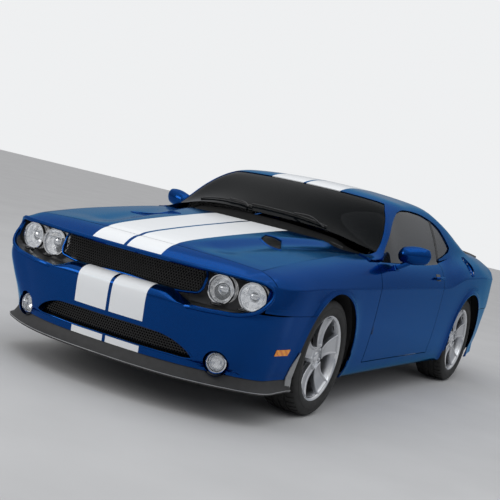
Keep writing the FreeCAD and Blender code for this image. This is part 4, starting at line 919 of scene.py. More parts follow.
def make_sills():
    """Rocker panels under the doors, tucked in towards the ground."""
    made = []
    for side, name in SIDES:
        rows = []
        for z, out in ((0.294, 0.0), (0.27, -0.001), (0.24, -0.006), (0.215, -0.018), (0.198, -0.04),
                       (0.194, -0.075)):
            reach = sqrt(0.427 ** 2 - (WHEEL_Z - z) ** 2)
            s = np.linspace(reach, WHEELBASE - reach, 60)
            rows.append(np.stack([side_x(s, np.full(60, max(z, 0.235))) + out, s + FRONT_Y, np.full(60, z)],
                                 1))
        grid = np.stack(rows[::-1], 1) * [side, 1, 1]
        piece = shell(f"{name}_sill", [grid], 0.006, (side, 0, -0.2))
        made.append(finish_piece(piece, "body", "plain_blue", replaces=["rocker_sills"] if side > 0 else []))
    return made


# ---------------------------------------------------------------- roof and glass
def prism(name, outline, along, low, high):
    """Straight prism on an outline; along is the axis it runs on, 0 for x or 2 for z."""
    outline = [tuple(map(float, p)) for p in outline]
    turn = sum(a[0] * b[1] - b[0] * a[1] for a, b in zip(outline, outline[1:] + outline[:1]))
    if turn < 0:
        outline.reverse()
    n = len(outline)

    def at(p, far):
        return (far, p[0], p[1]) if along == 0 else (p[0], p[1], far)

    points = [at(p, low) for p in outline] + [at(p, high) for p in outline]
    sides = [(i, (i + 1) % n, n + (i + 1) % n, n + i) for i in range(n)]
    return from_points(name, points, [tuple(range(n))[::-1], tuple(range(n, 2 * n))] + sides)


def cut(piece, *tools):
    """Takes the shape of each tool out of a piece and removes the tools."""
    for tool in tools:
        modify(piece, "BOOLEAN", operation="DIFFERENCE", object=tool, solver="EXACT")
        bpy.data.objects.remove(tool)
    return piece


@contextmanager
def editing(piece, mode="FACE"):
    """Edit mode on one piece, for a with block."""
    only(piece)
    bpy.ops.object.mode_set(mode="EDIT")
    bpy.ops.mesh.select_mode(type=mode)
    bpy.ops.mesh.select_all(action="DESELECT")
    yield bmesh.from_edit_mesh(piece.data)
    bpy.ops.object.mode_set(mode="OBJECT")


SCREEN_BASE, SCREEN_HEAD = (0.79, 0.806, 0.6), (0.612, 1.258, 1.19)
PILLAR_BOW = 0.03
LIGHT_TOP, LIGHT_BASE = (0.595, 2.43, 2.392), (0.612, 3.085, 3.095)
# Corners (s, z) of the side window opening in mm: front edge up, top back, rear edge down, lower edge back
WINDOW_FRONT = [(818, 992), (980, 1112), (1160, 1234), (1335, 1320)]
WINDOW_TOP = [(1335, 1320), (1450, 1343), (1620, 1351), (1900, 1341), (2060, 1319), (2180, 1296),
              (2275, 1262)]
WINDOW_REAR = [(2275, 1262), (2360, 1200), (2446, 1130)]
WINDOW_LOW = [(2111, 1036), (2150, 1040), (2300, 1072), (2425, 1112), (2446, 1130)]
QUARTER_TURN = 2.6                               # station where the roof skin's rear and lower parts meet


def top_place(x, s):
    """Station and place w on the roof at a distance from the middle."""
    row = (np.asarray(s, float) - HOUSE_START) / STEP
    rail, belt = look_up(HOUSE, row, 40.0)[..., 0], look_up(HOUSE, row, 80.0)[..., 0]
    x = np.abs(x)
    w = np.where(x < rail, x / rail, 1 + (x - rail) / (belt - rail + 0.06))
    return np.stack(np.broadcast_arrays(np.asarray(s, float), w), -1)


def opening_half(front, rear, bow, t):
    """Half width of a window opening, part t of the way from its front to its rear edge."""
    return front[0] + (rear[0] - front[0]) * t + bow * 4 * t * (1 - t)


def top_edge(arc, count):
    """Half of a window's front or rear edge from the middle to its corner, as (s, w) points."""
    half, side, middle = arc
    x = np.linspace(0, half, count)
    return top_place(x, middle + (side - middle) * (x / half) ** 2)


def make_roof():
    """Roof with its pillars, in parts between the window openings that join along their edges."""
    head, light = top_edge(SCREEN_HEAD, 40), top_edge(LIGHT_TOP, 40)
    t = np.linspace(0, 1, 40)
    screen_side = top_place(opening_half(SCREEN_BASE, SCREEN_HEAD, PILLAR_BOW, t),
                            SCREEN_BASE[1] + (SCREEN_HEAD[1] - SCREEN_BASE[1]) * t)
    light_side = top_place(*spread([LIGHT_TOP[:2], LIGHT_BASE[:2]], 60).T)
    front, top = house_line(WINDOW_FRONT, 40, True), house_line(WINDOW_TOP, 60, True)
    rear, low = house_line(WINDOW_REAR, 24, True)[::-1], house_line(WINDOW_LOW, 40, True)
    front[0] = (0.818, 2.0)
    top[0], rear[-1], low[-1] = front[-1], top[-1], rear[0]
    short_front = spread([head[-1], front[-1]], 14)
    short_rear = spread([light[-1], top[-1]], 14)
    rail = spread(top_place(*spread([SCREEN_HEAD[:2], (0.592, 1.7), LIGHT_TOP[:2]], 90).T), 60)
    rail[0], rail[-1] = head[-1], light[-1]
    screen_side[-1], light_side[0] = head[-1], light[-1]
    roof = patch(head, light, spread([head[0], light[0]], 60), rail)
    side = patch(top, rail, short_front[::-1], short_rear[::-1])
    foot = spread([screen_side[0], front[0]], 14)
    pillar = patch(foot, short_front, screen_side, front)
    toe = patch(spread([(0.6, 1.0), (0.64, 2.0)], 14), foot, spread([(0.6, 1.0), screen_side[0]], 14),
                spread([(0.64, 2.0), front[0]], 14))
    turn = np.array([QUARTER_TURN, 2.0])
    diagonal = spread([rear[0], turn], 14)
    under = patch(spread([(2.111, 2.0), turn], 40), low, spread([(2.111, 2.0), low[0]], 14), diagonal[::-1])
    bottom = chain(diagonal, spread([turn, (3.14, 2.0)], 60))
    upper = chain(short_rear[::-1], light_side)
    rear_end = spread([bottom[-1], (3.14, 0.9), upper[-1]], 24)
    quarter = patch(bottom, upper, rear, rear_end)
    grids = []
    for part in (roof, side, pillar, toe, under, quarter):
        grids += both_sides(on_house(part[..., 0], part[..., 1]))
    piece = shell("roof_skin", grids, 0.026, (0, 0, 1))
    finish_piece(piece, "body", "paint", smooth=30, replaces=["roof_frame"])
    base = top_edge(LIGHT_BASE, 40)
    end = np.stack([np.full(40, 3.14), np.linspace(0, 0.9, 40)], 1)
    strip = patch(base, end, spread([base[0], end[0]], 6), spread([base[-1], end[-1]], 6))
    filler = shell("rear_filler_panel", both_sides(on_house(strip[..., 0], strip[..., 1])), 0.02, (0, 0, 1))
    finish_piece(filler, "body", "paint")


def top_pane(name, front, rear, finish, node, bow=0.0, inset=0.006):
    """Windscreen or rear window, set into the roof skin."""
    columns, rows = 61, 31
    q = np.linspace(-1, 1, columns)[:, None]
    t = np.linspace(0, 1, rows)[None]
    half = opening_half(front, rear, bow, t)
    s = (front[2] + (front[1] - front[2]) * q ** 2) * (1 - t) + (rear[2] + (rear[1] - rear[2]) * q ** 2) * t
    x = half * q + 0 * s
    place = top_place(x, s)
    p = on_house(place[..., 0], place[..., 1])
    p[..., 0] *= np.sign(x)
    p[..., 2] -= inset
    piece = shell(name, [p], 0.005, (0, 0, 1))
    finish_piece(piece, "body", finish, replaces=[node])


def side_panes(word, corners, finish, bodies, node, inset=0.01):
    """Pane on each side between four edges of (s, z) corner points in mm: bottom, top, front, rear."""
    edges = [house_line(c, n) for c, n in zip(corners, (44, 44, 24, 24))]
    g = patch(*edges)
    p = on_house(g[..., 0], g[..., 1], 0.0)
    n = directions(p)
    if np.sum(n[..., 0]) < 0:
        n = -n
    p = p - n * inset
    for side, name in SIDES:
        piece = shell(f"{name}_{word}", [p * [side, 1, 1]], 0.005, (side, 0, 0.2))
        nodes = [node.format(side=name)] if node and (side > 0 or "{" in node) else []
        finish_piece(piece, bodies.format(side=name), finish, replaces=nodes)


def make_glass():
    """Windscreen, rear window, and the door and quarter panes with the post between them."""
    top_pane("windscreen_pane", SCREEN_BASE, SCREEN_HEAD, "glass", "windscreen", PILLAR_BOW)
    top_pane("rear_window_pane", LIGHT_TOP, LIGHT_BASE, "glass", "rear_window")
    front = [(826, 980), (980, 1108), (1160, 1230), (1330, 1314)]
    top = [(1330, 1314), (1450, 1338), (1620, 1346), (1900, 1336), (2066, 1313)]
    side_panes("door_pane", ([(826, 980), (2082, 988)], top, front, [(2082, 988), (2066, 1313)]),
               "side_glass", "{side}_door", "{side}_door_glass")
    low = [(2128, 1040), (2300, 1074), (2438, 1128)]
    top = [(2128, 1303), (2180, 1292), (2270, 1258), (2280, 1252)]
    side_panes("quarter_pane", (low, top, [(2128, 1040), (2128, 1303)],
                                [(2438, 1128), (2360, 1194), (2280, 1252)]),
               "side_glass", "body", "quarter_windows")
    side_panes("window_post", quad((2086, 1020), (2124, 1030), (2070, 1318), (2124, 1308)), "trim", "body",
               None, 0.009)


# ---------------------------------------------------------------- modelling helpers
def at(x, s, z):
    """A place at a distance left of the middle, a station and a height."""
    return Vector((x, s + FRONT_Y, z))


def once(side, node):
    """The node that a pair of pieces replaces together, named by the left one alone."""
    return [node] if node and side > 0 else []


def across(half):
    """Open line across the car from its left half, which starts in the middle."""
    return np.vstack([(half * [-1, 1, 1])[:0:-1], half])


def quad(a, b, c, d):
    """Bottom, top, front and rear edges between four corners, the lower two first."""
    return [a, b], [c, d], [a, c], [b, d]


def side_quad(a, b, c, d, columns, rows):
    """Grid on the body side between four corners (s, z) in mm."""
    edges = zip(quad(a, b, c, d), (columns, columns, rows, rows))
    return side_grid(patch(*[side_line(edge, count) for edge, count in edges]))


def block(name, place, size, bevel=0, segments=0):
    """Box round a place (x, station, height), its edges rounded when a bevel is given."""
    piece = add("cube", name, size=1, location=at(*place), scale=size)
    if bevel:
        modify(piece, "BEVEL", width=bevel, segments=segments)
    return piece


def soften(piece, width, segments):
    """Rounds the sharp edges of a plate."""
    modify(piece, "BEVEL", width=width, segments=segments, limit_method="ANGLE", angle_limit=radians(60))


def joined(name, pieces):
    """Pieces made into one, with a name."""
    only(pieces[0])
    for piece in pieces:
        piece.select_set(True)
    bpy.ops.object.join()
    pieces[0].name = pieces[0].data.name = name
    return pieces[0]


def add(kind, name, **settings):
    """A primitive at its size and place, ready to be shaped."""
    bpy.ops.object.select_all(action="DESELECT")
    getattr(bpy.ops.mesh, f"primitive_{kind}_add")(**settings)
    piece = bpy.context.active_object
    piece.name = piece.data.name = name
    bpy.ops.object.transform_apply(location=True, rotation=True, scale=True)
    return piece


def pick(mesh, test):
    """Selects the faces whose middle and normal pass a test."""
    for face in mesh.faces:
        face.select_set(bool(test(face.calc_center_median(), face.normal)))


def turned(name, profile, middle, axis, steps=64):
    """Round piece turned from an outline of (distance along the axis, radius); it closes on itself."""
    axis, middle = Vector(axis).normalized(), Vector(middle)
    out = axis.orthogonal().normalized()
    mesh = bpy.data.meshes.new(name)
    count = len(profile)
    points = [middle + axis * a + out * r for a, r in profile]
    mesh.from_pydata(points, [(k, (k + 1) % count) for k in range(count)], [])
    piece = bpy.data.objects.new(name, mesh)
    bpy.context.scene.collection.objects.link(piece)
    with editing(piece, "VERT"):
        bpy.ops.mesh.select_all(action="SELECT")
        bpy.ops.mesh.spin(steps=steps, angle=2 * pi, center=middle, axis=axis)
        bpy.ops.mesh.select_all(action="SELECT")
        bpy.ops.mesh.remove_doubles(threshold=0.00005)
        bpy.ops.mesh.dissolve_degenerate(threshold=0.00001)
        bpy.ops.mesh.select_all(action="SELECT")
        bpy.ops.mesh.delete_loose()
        bpy.ops.mesh.select_all(action="SELECT")
        bpy.ops.mesh.normals_make_consistent(inside=False)
    return piece


def repeated(piece, name, moves):
    """One mesh made of a copy of a piece at each transform; the piece itself is used up."""
    mesh = bmesh.new()
    for move in moves:
        part = piece.data.copy()
        part.transform(move)
        if move.determinant() < 0:
            part.flip_normals()
        mesh.from_mesh(part)
        bpy.data.meshes.remove(part)
    result = bpy.data.objects.new(name, bpy.data.meshes.new(name))
    mesh.to_mesh(result.data)
    mesh.free()
    bpy.context.scene.collection.objects.link(result)
    bpy.data.objects.remove(piece)
    return result


def plate(name, grid, out, thick, outward):
    """Plate that lies on a grid of the body's skin and stands out by a thickness."""
    n = directions(grid)
    if np.sum(n * np.array(outward)) < 0:
        grid, n = grid[:, ::-1], -n[:, ::-1]
    return shell(name, [grid + n * out], thick, outward)


# ---------------------------------------------------------------- nose
LAMPS = ((0.582, -0.838), (0.768, -0.808))        # x and station of the two headlamps on a side
LAMP_R, LAMP_Z = 0.078, 0.71
FOG_X, FOG_Z, FOG_CUP, FOG_LEAN = 0.66, 0.318, 0.069, 0.22
FOG_BACK = 0.03                                  # fog lamp's face behind the nose skin
GRILLE_BACK = 0.1                               # grille frame behind the nose skin
GRILLE_LOW, GRILLE_HIGH = 0.655, 0.8
CELL = 0.0165                                     # width of one cell of the grille mesh
CHIN_Z = 0.262                                    # lower edge of the painted bumper

# Parts of a headlamp: word, turning steps, finish, smoothing, scale of the radii, replaced node, profile
LAMP_PARTS = (
    # the bowls glow with a painted reflection and painted glints in place of chrome
    ("bowls", 28, "painted_glint_reflector", 0, LAMP_R, None,
     [(0.0, 1.0), (0.004, 1.04), (-0.006, 1.07), (-0.06, 0.98), (-0.075, 0.5), (-0.078, 0.12), (-0.066, 0.12),
      (-0.058, 0.48), (-0.04, 0.8), (-0.014, 0.93), (-0.004, 0.95)]),
    ("covers", 40, "clear", 40, LAMP_R, "headlamps",
     [(0.016, 0.0), (0.0145, 0.35), (0.01, 0.66), (0.001, 0.93), (-0.003, 0.93), (0.006, 0.66),
      (0.0105, 0.35),
      (0.012, 0.0)]),
    ("bulbs", 32, "chrome", 40, 1, None,
     [(-0.06, 0.0), (-0.06, 0.02), (-0.038, 0.026), (-0.03, 0.03), (-0.02, 0.029), (-0.012, 0.018),
      (-0.01, 0.0)]),
    ("bezels", 48, "lip", 40, LAMP_R, None,
     [(0.002, 0.93), (0.01, 0.98), (0.01, 1.05), (0.002, 1.1), (-0.01, 1.08), (-0.006, 0.95)]),
)
# Parts of a fog lamp: word, turning steps, finish, slot, smoothing, replaced node, profile
FOG_PARTS = (
    ("pod", 44, "chrome", "clear_lens", 40, None,
     [(-0.06, 0.046), (-0.06, 0.06), (-0.012, 0.064), (0.016, 0.06), (0.02, 0.054), (0.014, 0.05),
      (-0.02, 0.046)]),
    ("cup", 48, "plain_blue", None, 40, None,
     [(-0.075, 0.0), (-0.075, 0.066), (0.0, FOG_CUP + 0.002), (0.026, FOG_CUP + 0.005),
      (0.0, FOG_CUP + 0.006),
      (-0.08, 0.07), (-0.08, 0.0)]),
    ("bowl", 20, "chrome", "clear_lens", 0, None,
     [(-0.02, 0.0), (-0.02, 0.016), (-0.012, 0.036), (0.004, 0.046), (-0.03, 0.047), (-0.05, 0.03),
      (-0.05, 0.0)]),
    ("cover", 36, "clear", None, 60, "fog_lamps",
     [(0.02, 0.0), (0.017, 0.026), (0.008, 0.047), (0.004, 0.047), (0.013, 0.026), (0.016, 0.0)]),
)


def make_lamps():
    """Round headlamps with clear covers, in bowls whose chrome is shown by a glowing finish: painted
    reflection and painted glints.
    """
    for side, name in SIDES:
        for word, steps, finish, smooth, scale, node, profile in LAMP_PARTS:
            pieces = []
            for k, (x, s) in enumerate(LAMPS):
                way = Vector((side * 0.1 * k, -1, 0))
                pieces.append(turned("lamp", [(a, q * scale) for a, q in profile], at(side * x, s, LAMP_Z),
                                     way, steps))
            finish_piece(joined(f"{name}_headlamp_{word}", pieces), "body", finish, smooth, once(side, node))


def make_small_lamps():
    """Side lamps under the headlamps, fog lamps with chrome rings, and the amber marker on each side."""
    for side, name in SIDES:
        beads = [add("uv_sphere", "bead", segments=24, ring_count=12, radius=1, location=at(side * x, s, z),
                     scale=(0.034, 0.02, 0.01)) for x, s,
                 z in ((0.59, -0.878, 0.628), (0.745, -0.856, 0.634))]
        finish_piece(joined(f"{name}_side_lamps", beads), "body", "gloss", 60)
        place = Vector((side * FOG_X, nose_depth(FOG_X, FOG_Z) + FOG_BACK, FOG_Z))
        for word, steps, finish, slot, smooth, node, profile in FOG_PARTS:
            piece = turned(f"{name}_fog_{word}", profile, place, Vector((side * FOG_LEAN, -1, 0)), steps)
            finish_piece(piece, "body", finish, smooth, once(side, node))
        corners = quad((-742, 412), (-530, 412), (-736, 448), (-518, 448))
        edges = [spread(np.array(e) / 1000, n) for e, n in zip(corners, (24, 24, 8, 8))]
        grid = patch(*[np.stack([side_place(e[:, 0], NOSE_JOIN, 1), e[:, 1]], 1) for e in edges])
        skin = on_end(NOSE_SKIN, grid[..., 0], grid[..., 1]) * [side, 1, 1]
        finish_piece(plate(f"{name}_marker_lamp", skin, 0.003, 0.006, (side, 0, 0)), "body", "amber")


def grille_half_width(z):
    """Half width of the upper grille opening at a height."""
    return 0.47 - 0.02 * (1 - min(1.0, min(z - GRILLE_LOW, GRILLE_HIGH - z) / 0.02))


def honeycomb(name, width, low, high, depth, inside, replaces=()):
    """Fine mesh of six-sided cells that follows the nose, set back by a depth."""
    one = add("cylinder", "cell", vertices=6, radius=CELL * 0.577, depth=0.012, end_fill_type="NOTHING",
              rotation=(pi / 2, 0, 0))
    modify(one, "SOLIDIFY", thickness=CELL * 0.17, offset=-1)
    moves = []
    for row in range(int((high - low) / (CELL * 0.866)) + 1):
        z = low + row * CELL * 0.866
        for k in range(-int(width / CELL) - 1, int(width / CELL) + 2):
            x = (k + 0.5 * (row % 2)) * CELL
            if inside(abs(x), z):
                moves.append(Matrix.Translation((x, nose_depth(x, z) + depth, z)))
    return finish_piece(repeated(one, name, moves), "body", "gloss", 20, replaces)


def make_grilles():
    """Meshes of the grille and the lower intake, each in its edge, and the duct behind the intake."""
    honeycomb("upper_grille", 0.49, 0.668, 0.792, GRILLE_BACK + 0.012, lambda x, z: x < grille_half_width(z),
              ["grilles"])
    intake = np.array(INTAKE, float)[::-1] / 1000
    honeycomb("lower_grille", 0.53, 0.306, 0.428, 0.06,
              lambda x, z: x < np.interp(z, intake[:, 1], intake[:, 0]) - 0.008)
    half = flow([(0, GRILLE_LOW), (0.436, 0.657), (0.471, 0.664), (0.488, 0.69), (0.49, 0.73), (0.488, 0.772),
                 (0.473, 0.795), (0.436, GRILLE_HIGH), (0, GRILLE_HIGH)], 90)
    frame_path = ring_of(np.array([(x, nose_depth(x, z) + GRILLE_BACK, z) for x, z in half]))
    tube("grille_frame", frame_path, 0.0075, "body", "plain_blue")
    low = flow([(0, 0.3035), (0.4, 0.3035), (0.525, 0.306), (0.548, 0.312), (0.53, 0.34), (0.515, 0.352)], 60)
    lip = np.array([(x, nose_depth(x, z) + 0.004, z) for x, z in low])
    tube("intake_lip", across(lip), 0.005, "body", "plain_blue", closed=False)
    rows = [(0.0, 0.296), (0.07, 0.296), (0.085, 0.31), (0.085, 0.43), (0.07, 0.442), (0.0, 0.442)]
    grid = np.array([[(x, nose_depth(x, z) + d + 0.012, z) for d, z in rows] for x in np.linspace(-0.56, 0.56,
                                                                                                  61)])
    finish_piece(shell("intake_duct", [grid], 0.004, (0, -1, 0)), "body", "trim")


def make_chin():
    """Black air dam under the bumper with its forward blade, and the fin ahead of each front wheel."""
    last = side_place(-0.392, NOSE_JOIN, 1)
    a = np.concatenate([np.linspace(0, 4, 70), np.linspace(4, last, 14)[1:]])
    base = on_end(NOSE_SKIN, a, np.full(len(a), CHIN_Z))
    run = np.gradient(base[:, :2], axis=0)
    out = np.stack([-run[:, 1], run[:, 0]], 1)
    out = out / np.linalg.norm(out, axis=1)[:, None]
    out *= -np.sign(out[0, 1])
    slim = 0.35 + 0.65 * np.clip((last - a) / 1.2, 0, 1)
    rows = []
    for z, d in ((CHIN_Z, -0.006), (0.252, 0.0), (0.236, 0.006), (0.214, 0.02), (0.202, 0.034), (0.197, 0.04),
                 (0.19, 0.04), (0.187, 0.034), (0.187, -0.04)):
        reach = d * (slim if d > 0 else np.ones(len(a)))
        rows.append(np.column_stack([base[:, :2] + out * reach[:, None], np.full(len(a), z)]))
    piece = shell("air_dam", both_sides(np.stack(rows, 1)), 0.006, (0, -1, -0.1))
    finish_piece(piece, "body", "chin", 30, ["front_splitter"])
    line = np.column_stack([base[:, :2] + out * (0.041 * slim)[:, None], np.full(len(a), 0.1985)])
    tube("air_dam_edge", across(line), 0.0022, "body", "edge", closed=False)
    first, end = 206, 172                         # angles round the wheel where a fin starts and ends
    angles = np.linspace(first, end, 30)
    inner = arch_run(0, first, end, 30, ARCH + 0.004) / 1000
    width = np.interp(angles, (end, 186, first), (0.006, 0.042, 0.066))[:, None]
    way = np.stack([np.cos(np.radians(angles)), np.sin(np.radians(angles))], 1)
    rows = [inner + way * width * q for q in np.linspace(0, 1, 5)]
    grid = np.stack([np.column_stack([side_x(r[:, 0], np.maximum(r[:, 1], 0.235)) + 0.003, r[:, 0] + FRONT_Y,
                                      np.maximum(r[:, 1], 0.188)]) for r in rows], 1)
    for side, name in SIDES:
        finish_piece(plate(f"{name}_arch_fin", grid * [side, 1, 1], 0.003, 0.005, (side, 0, 0)), "body",
                     "edge")


# ---------------------------------------------------------------- wheels
WHEEL_X, WHEEL_Z = 0.801, 0.364
SPOKES, NUT_CIRCLE, SPOKE_FOOT, SPOKE_RUN = 5, 0.0572, 0.063, 0.186
TREAD_STEPS = 144
# Turned parts of a wheel: word, turning steps, finish, smoothing, profile
BARREL = [(0.098, 0.256), (0.07, 0.248), (-0.06, 0.24), (-0.104, 0.256), (-0.112, 0.267), (-0.116, 0.266),
          (-0.11, 0.252), (-0.064, 0.232), (0.05, 0.239), (0.086, 0.244), (0.096, 0.25)]
HUB = [(0.0, 0.0), (0.0, 0.078), (0.062, 0.078), (0.074, 0.072), (0.076, 0.04), (0.07, 0.036), (0.07, 0.0)]
WHEEL_PARTS = (
    ("rim_lip", 96, "lip", 40, [(0.096, 0.249), (0.104, 0.251), (0.109, 0.256), (0.113, 0.266),
                                (0.112, 0.269),
                                (0.107, 0.268), (0.1, 0.257)]),
    ("hub_cap", 40, "lip", 40, [(0.066, 0.0), (0.066, 0.034), (0.076, 0.034), (0.082, 0.028), (0.084, 0.016),
                                (0.083, 0.0)]),
    ("brake_disc", 96, "disc", 35, [(-0.018, 0.09), (-0.018, 0.18), (-0.028, 0.18), (-0.028, 0.176),
                                    (-0.038, 0.176), (-0.038, 0.18), (-0.048, 0.18), (-0.048, 0.084),
                                    (0.0, 0.08), (0.0, 0.088)]),
)


def make_wheel(side, side_name, end):
    """Five-spoke rim with a polished lip, nuts, cap, valve and brake disc, and its tyre."""
    word = f"{side_name}_{end}"
    body = f"{word}_wheel"
    axle = FRONT_Y if end == "front" else FRONT_Y + WHEELBASE
    middle, way = Vector((side * WHEEL_X, axle, WHEEL_Z)), Vector((side, 0, 0))

    def turns(first):
        spins = [Matrix.Rotation((k + first) * 2 * pi / SPOKES, 4, "X") for k in range(SPOKES)]
        return [Matrix.Translation(middle) @ spin @ Matrix.Translation(-middle) for spin in spins]

    nut = add("cylinder", "nut", vertices=6, radius=0.0115, depth=0.026, rotation=(0, pi / 2, 0),
              location=(middle.x + side * 0.068, axle, WHEEL_Z + NUT_CIRCLE))
    modify(nut, "BEVEL", width=0.0022, segments=2)
    finish_piece(repeated(nut, f"{word}_wheel_nuts", turns(0.5)), body, "chrome", 30)
    spoke = add("cube", "spoke", size=1, location=(middle.x + side * 0.07, axle, WHEEL_Z + 0.156),
                scale=(0.034, 0.088, SPOKE_RUN))
    with editing(spoke):
        bpy.ops.mesh.select_all(action="SELECT")
        bpy.ops.mesh.subdivide(number_cuts=3)
    for v in spoke.data.vertices:
        t = min(max((v.co.z - WHEEL_Z - SPOKE_FOOT) / SPOKE_RUN, 0), 1)
        v.co.y = axle + (v.co.y - axle) * (0.86 + 0.75 * t * t)
        v.co.x += side * (0.022 * t * t - 0.014 * sin(pi * t))
    with editing(spoke) as mesh:
        pick(mesh, lambda c, n: n.x * side > 0.75)
        bpy.ops.mesh.inset(thickness=0.01, depth=0, use_even_offset=True)
        bpy.ops.mesh.inset(thickness=0.006, depth=-0.009, use_even_offset=True)
    modify(spoke, "BEVEL", width=0.004, segments=2, limit_method="ANGLE", angle_limit=radians(35))
    modify(spoke, "SUBSURF", levels=1, render_levels=1)
    wheel = [repeated(spoke, "spokes", turns(0)), turned("barrel", BARREL, middle, way, 96),
             turned("hub", HUB, middle, way, 60)]
    finish_piece(joined(f"{word}_alloy_wheel", wheel), body, "alloy", 40, [body])
    for part, steps, finish, smooth, profile in WHEEL_PARTS:
        finish_piece(turned(f"{word}_{part}", profile, middle, way, steps), body, finish, smooth)
    valve = turned(f"{word}_valve", [(0.0, 0.0), (0.0, 0.004), (0.018, 0.004), (0.02, 0.003), (0.03, 0.003),
                                     (0.031, 0.0)],
                   middle + Vector((side * 0.085, 0.139, 0.19)), Vector((side * 0.7, -0.59, -0.81)), 14)
    finish_piece(valve, body, "rubber", 40)
    make_tyre(word, middle, way)


def make_tyre(word, middle, way):
    """Low tyre with a rim guard, circumferential grooves and cut shoulder blocks."""
    outer = [(0.094, 0.256), (0.103, 0.258), (0.112, 0.266), (0.1195, 0.274), (0.1235, 0.286), (0.1248, 0.3),
             (0.124, 0.316), (0.1225, 0.3165), (0.1222, 0.319), (0.1235, 0.3195), (0.1205, 0.336),
             (0.115, 0.348),
             (0.1075, 0.356), (0.097, 0.3602), (0.08, 0.3622)]
    tread = []
    for a in (0.048, 0.0, -0.048):
        tread += [(a + 0.0075, 0.3636), (a + 0.005, 0.356), (a - 0.005, 0.356), (a - 0.0075, 0.3636)]
    inner = [(0.088, 0.26), (0.112, 0.29), (0.108, 0.33), (0.085, 0.348), (0.0, 0.35)]
    profile = outer + tread + [(-a, r) for a, r in outer[::-1]]
    profile += [(-a, r) for a, r in inner] + inner[-2::-1]
    piece = turned(f"{word}_road_tyre", profile, middle, way, TREAD_STEPS)

    def shoulder_block(c, n):
        turn = (c - middle).yz.angle_signed(Vector((0, 1)), 0) + pi
        return (0.06 < abs(c.x - middle.x) < 0.1075 and (c.yz - middle.yz).length > 0.352
                and int(turn / (2 * pi) * TREAD_STEPS + 0.25) % 3 == 0)

    with editing(piece) as mesh:
        pick(mesh, shoulder_block)
        bpy.ops.mesh.inset(thickness=0.0012, depth=-0.005, use_even_offset=False)
    finish_piece(piece, f"{word}_wheel", "rubber", 32, [f"{word}_tyre"])


# ---------------------------------------------------------------- mirrors, handles and other fittings
MIRROR_X, MIRROR_S, MIRROR_Z = 0.982, 1.09, 1.058


def mirror_head(side, name):
    """Rounded mirror housing, slimmer ahead, with the room for its glass."""
    head = add("cube", f"{name}_mirror_head", size=2)
    with editing(head):
        bpy.ops.mesh.select_all(action="SELECT")
        bpy.ops.mesh.subdivide(number_cuts=7)
    for v in head.data.vertices:
        u = v.co.copy()
        round_share = 0.62 + 0.22 * (1 - u.y) / 2
        q = u * (1 - round_share) + u.normalized() * round_share * 1.16
        slim = 1 - 0.2 * ((1 - q.y) / 2) ** 2
        v.co = (side * (MIRROR_X + 0.104 * q.x * side * slim),
                MIRROR_S + FRONT_Y + 0.052 * q.y + 0.022 * q.x * side,
                MIRROR_Z + 0.062 * q.z * slim + 0.01 * q.x * side)
    with editing(head) as mesh:
        pick(mesh, lambda c, n: n.y > 0.86 and c.y > MIRROR_S + 0.025 + FRONT_Y)
        bpy.ops.mesh.inset(thickness=0.006, depth=0)
        bpy.ops.mesh.inset(thickness=0.002, depth=-0.01)
    modify(head, "SUBSURF", levels=1, render_levels=1)
    finish_piece(head, f"{name}_door", "plain_blue", 60, [f"{name}_mirror"])


def make_mirrors():
    """Door mirrors: head, glass, arm and foot."""
    for side, name in SIDES:
        body = f"{name}_door"
        mirror_head(side, name)
        glass = block(f"{name}_mirror_glass", (side * MIRROR_X, MIRROR_S + 0.044, MIRROR_Z),
                      (0.15, 0.006, 0.082))
        for v in glass.data.vertices:
            v.co.y += 0.021 * (abs(v.co.x) - MIRROR_X) / 0.1
            v.co.z += 0.01 * (abs(v.co.x) - MIRROR_X) / 0.1
        modify(glass, "BEVEL", width=0.018, segments=5, affect="EDGES", limit_method="NONE")
        finish_piece(glass, body, "mirror", 30)
        stem = [(0.872, 1.035, 0.944), (0.905, 1.05, 0.962), (0.935, 1.07, 0.985), (0.962, 1.085, 1.008),
                (0.975, 1.09, 1.03)]
        stem = flow([(side * x, s + FRONT_Y, z) for x, s, z in stem], 26)
        tube(f"{name}_mirror_arm", stem, 0.019, body, "plain_blue", closed=False)
        grid = side_quad((985, 928), (1082, 930), (998, 962), (1068, 960), 14, 8)
        foot = plate(f"{name}_mirror_foot", grid * [side, 1, 1], 0.012, 0.018, (side, 0, 0))
        soften(foot, 0.005, 3)
        finish_piece(foot, body, "plain_blue", 50)


HANDLE_FRONT, HANDLE_REAR, HANDLE_Z = 1900, 2040, 898        # pull handle's ends and height, mm
LOCK_S, LOCK_Z = 2.062, 0.897


def make_handles():
    """Pull handles on the doors, each over its scooped cup, with a lock."""
    count = 26
    run = np.linspace(HANDLE_FRONT, HANDLE_REAR, count)
    path = [(s / 1000, HANDLE_Z / 1000 + 0.006 * sin(pi * (s - HANDLE_FRONT) / (HANDLE_REAR - HANDLE_FRONT)))
            for s in run]
    lift = [0.004 + 0.026 * min(1, 3.2 * sin(pi * (k + 0.4) / 25.8)) for k in range(count)]
    points = np.array([on_side(s, height_place(s, h)) + [q, 0, 0] for (s, h), q in zip(path, lift)])
    first, last, low, high = HANDLE_FRONT + 22, HANDLE_REAR - 22, HANDLE_Z - 22, HANDLE_Z + 26
    grid = side_quad((first, low), (last, low), (first, high), (last, high), 20, 10)
    for side, name in SIDES:
        body = f"{name}_door"
        tube(f"{name}_door_handle", points * [side, 1, 1], 0.011, body, "plain_blue", closed=False)
        finish_piece(plate(f"{name}_handle_cup", grid * [side, 1, 1], 0.0012, 0.003, (side, 0, 0)), body,
                     "gloss", 50)
        lock = turned(f"{name}_door_lock", [(0, 0), (0, 0.009), (0.004, 0.009), (0.0055, 0.007),
                                            (0.0055, 0.0)],
                      Vector(on_side(LOCK_S, height_place(LOCK_S, LOCK_Z)) * [side, 1, 1]), (side, 0, 0), 26)
        finish_piece(lock, body, "lip", 40)


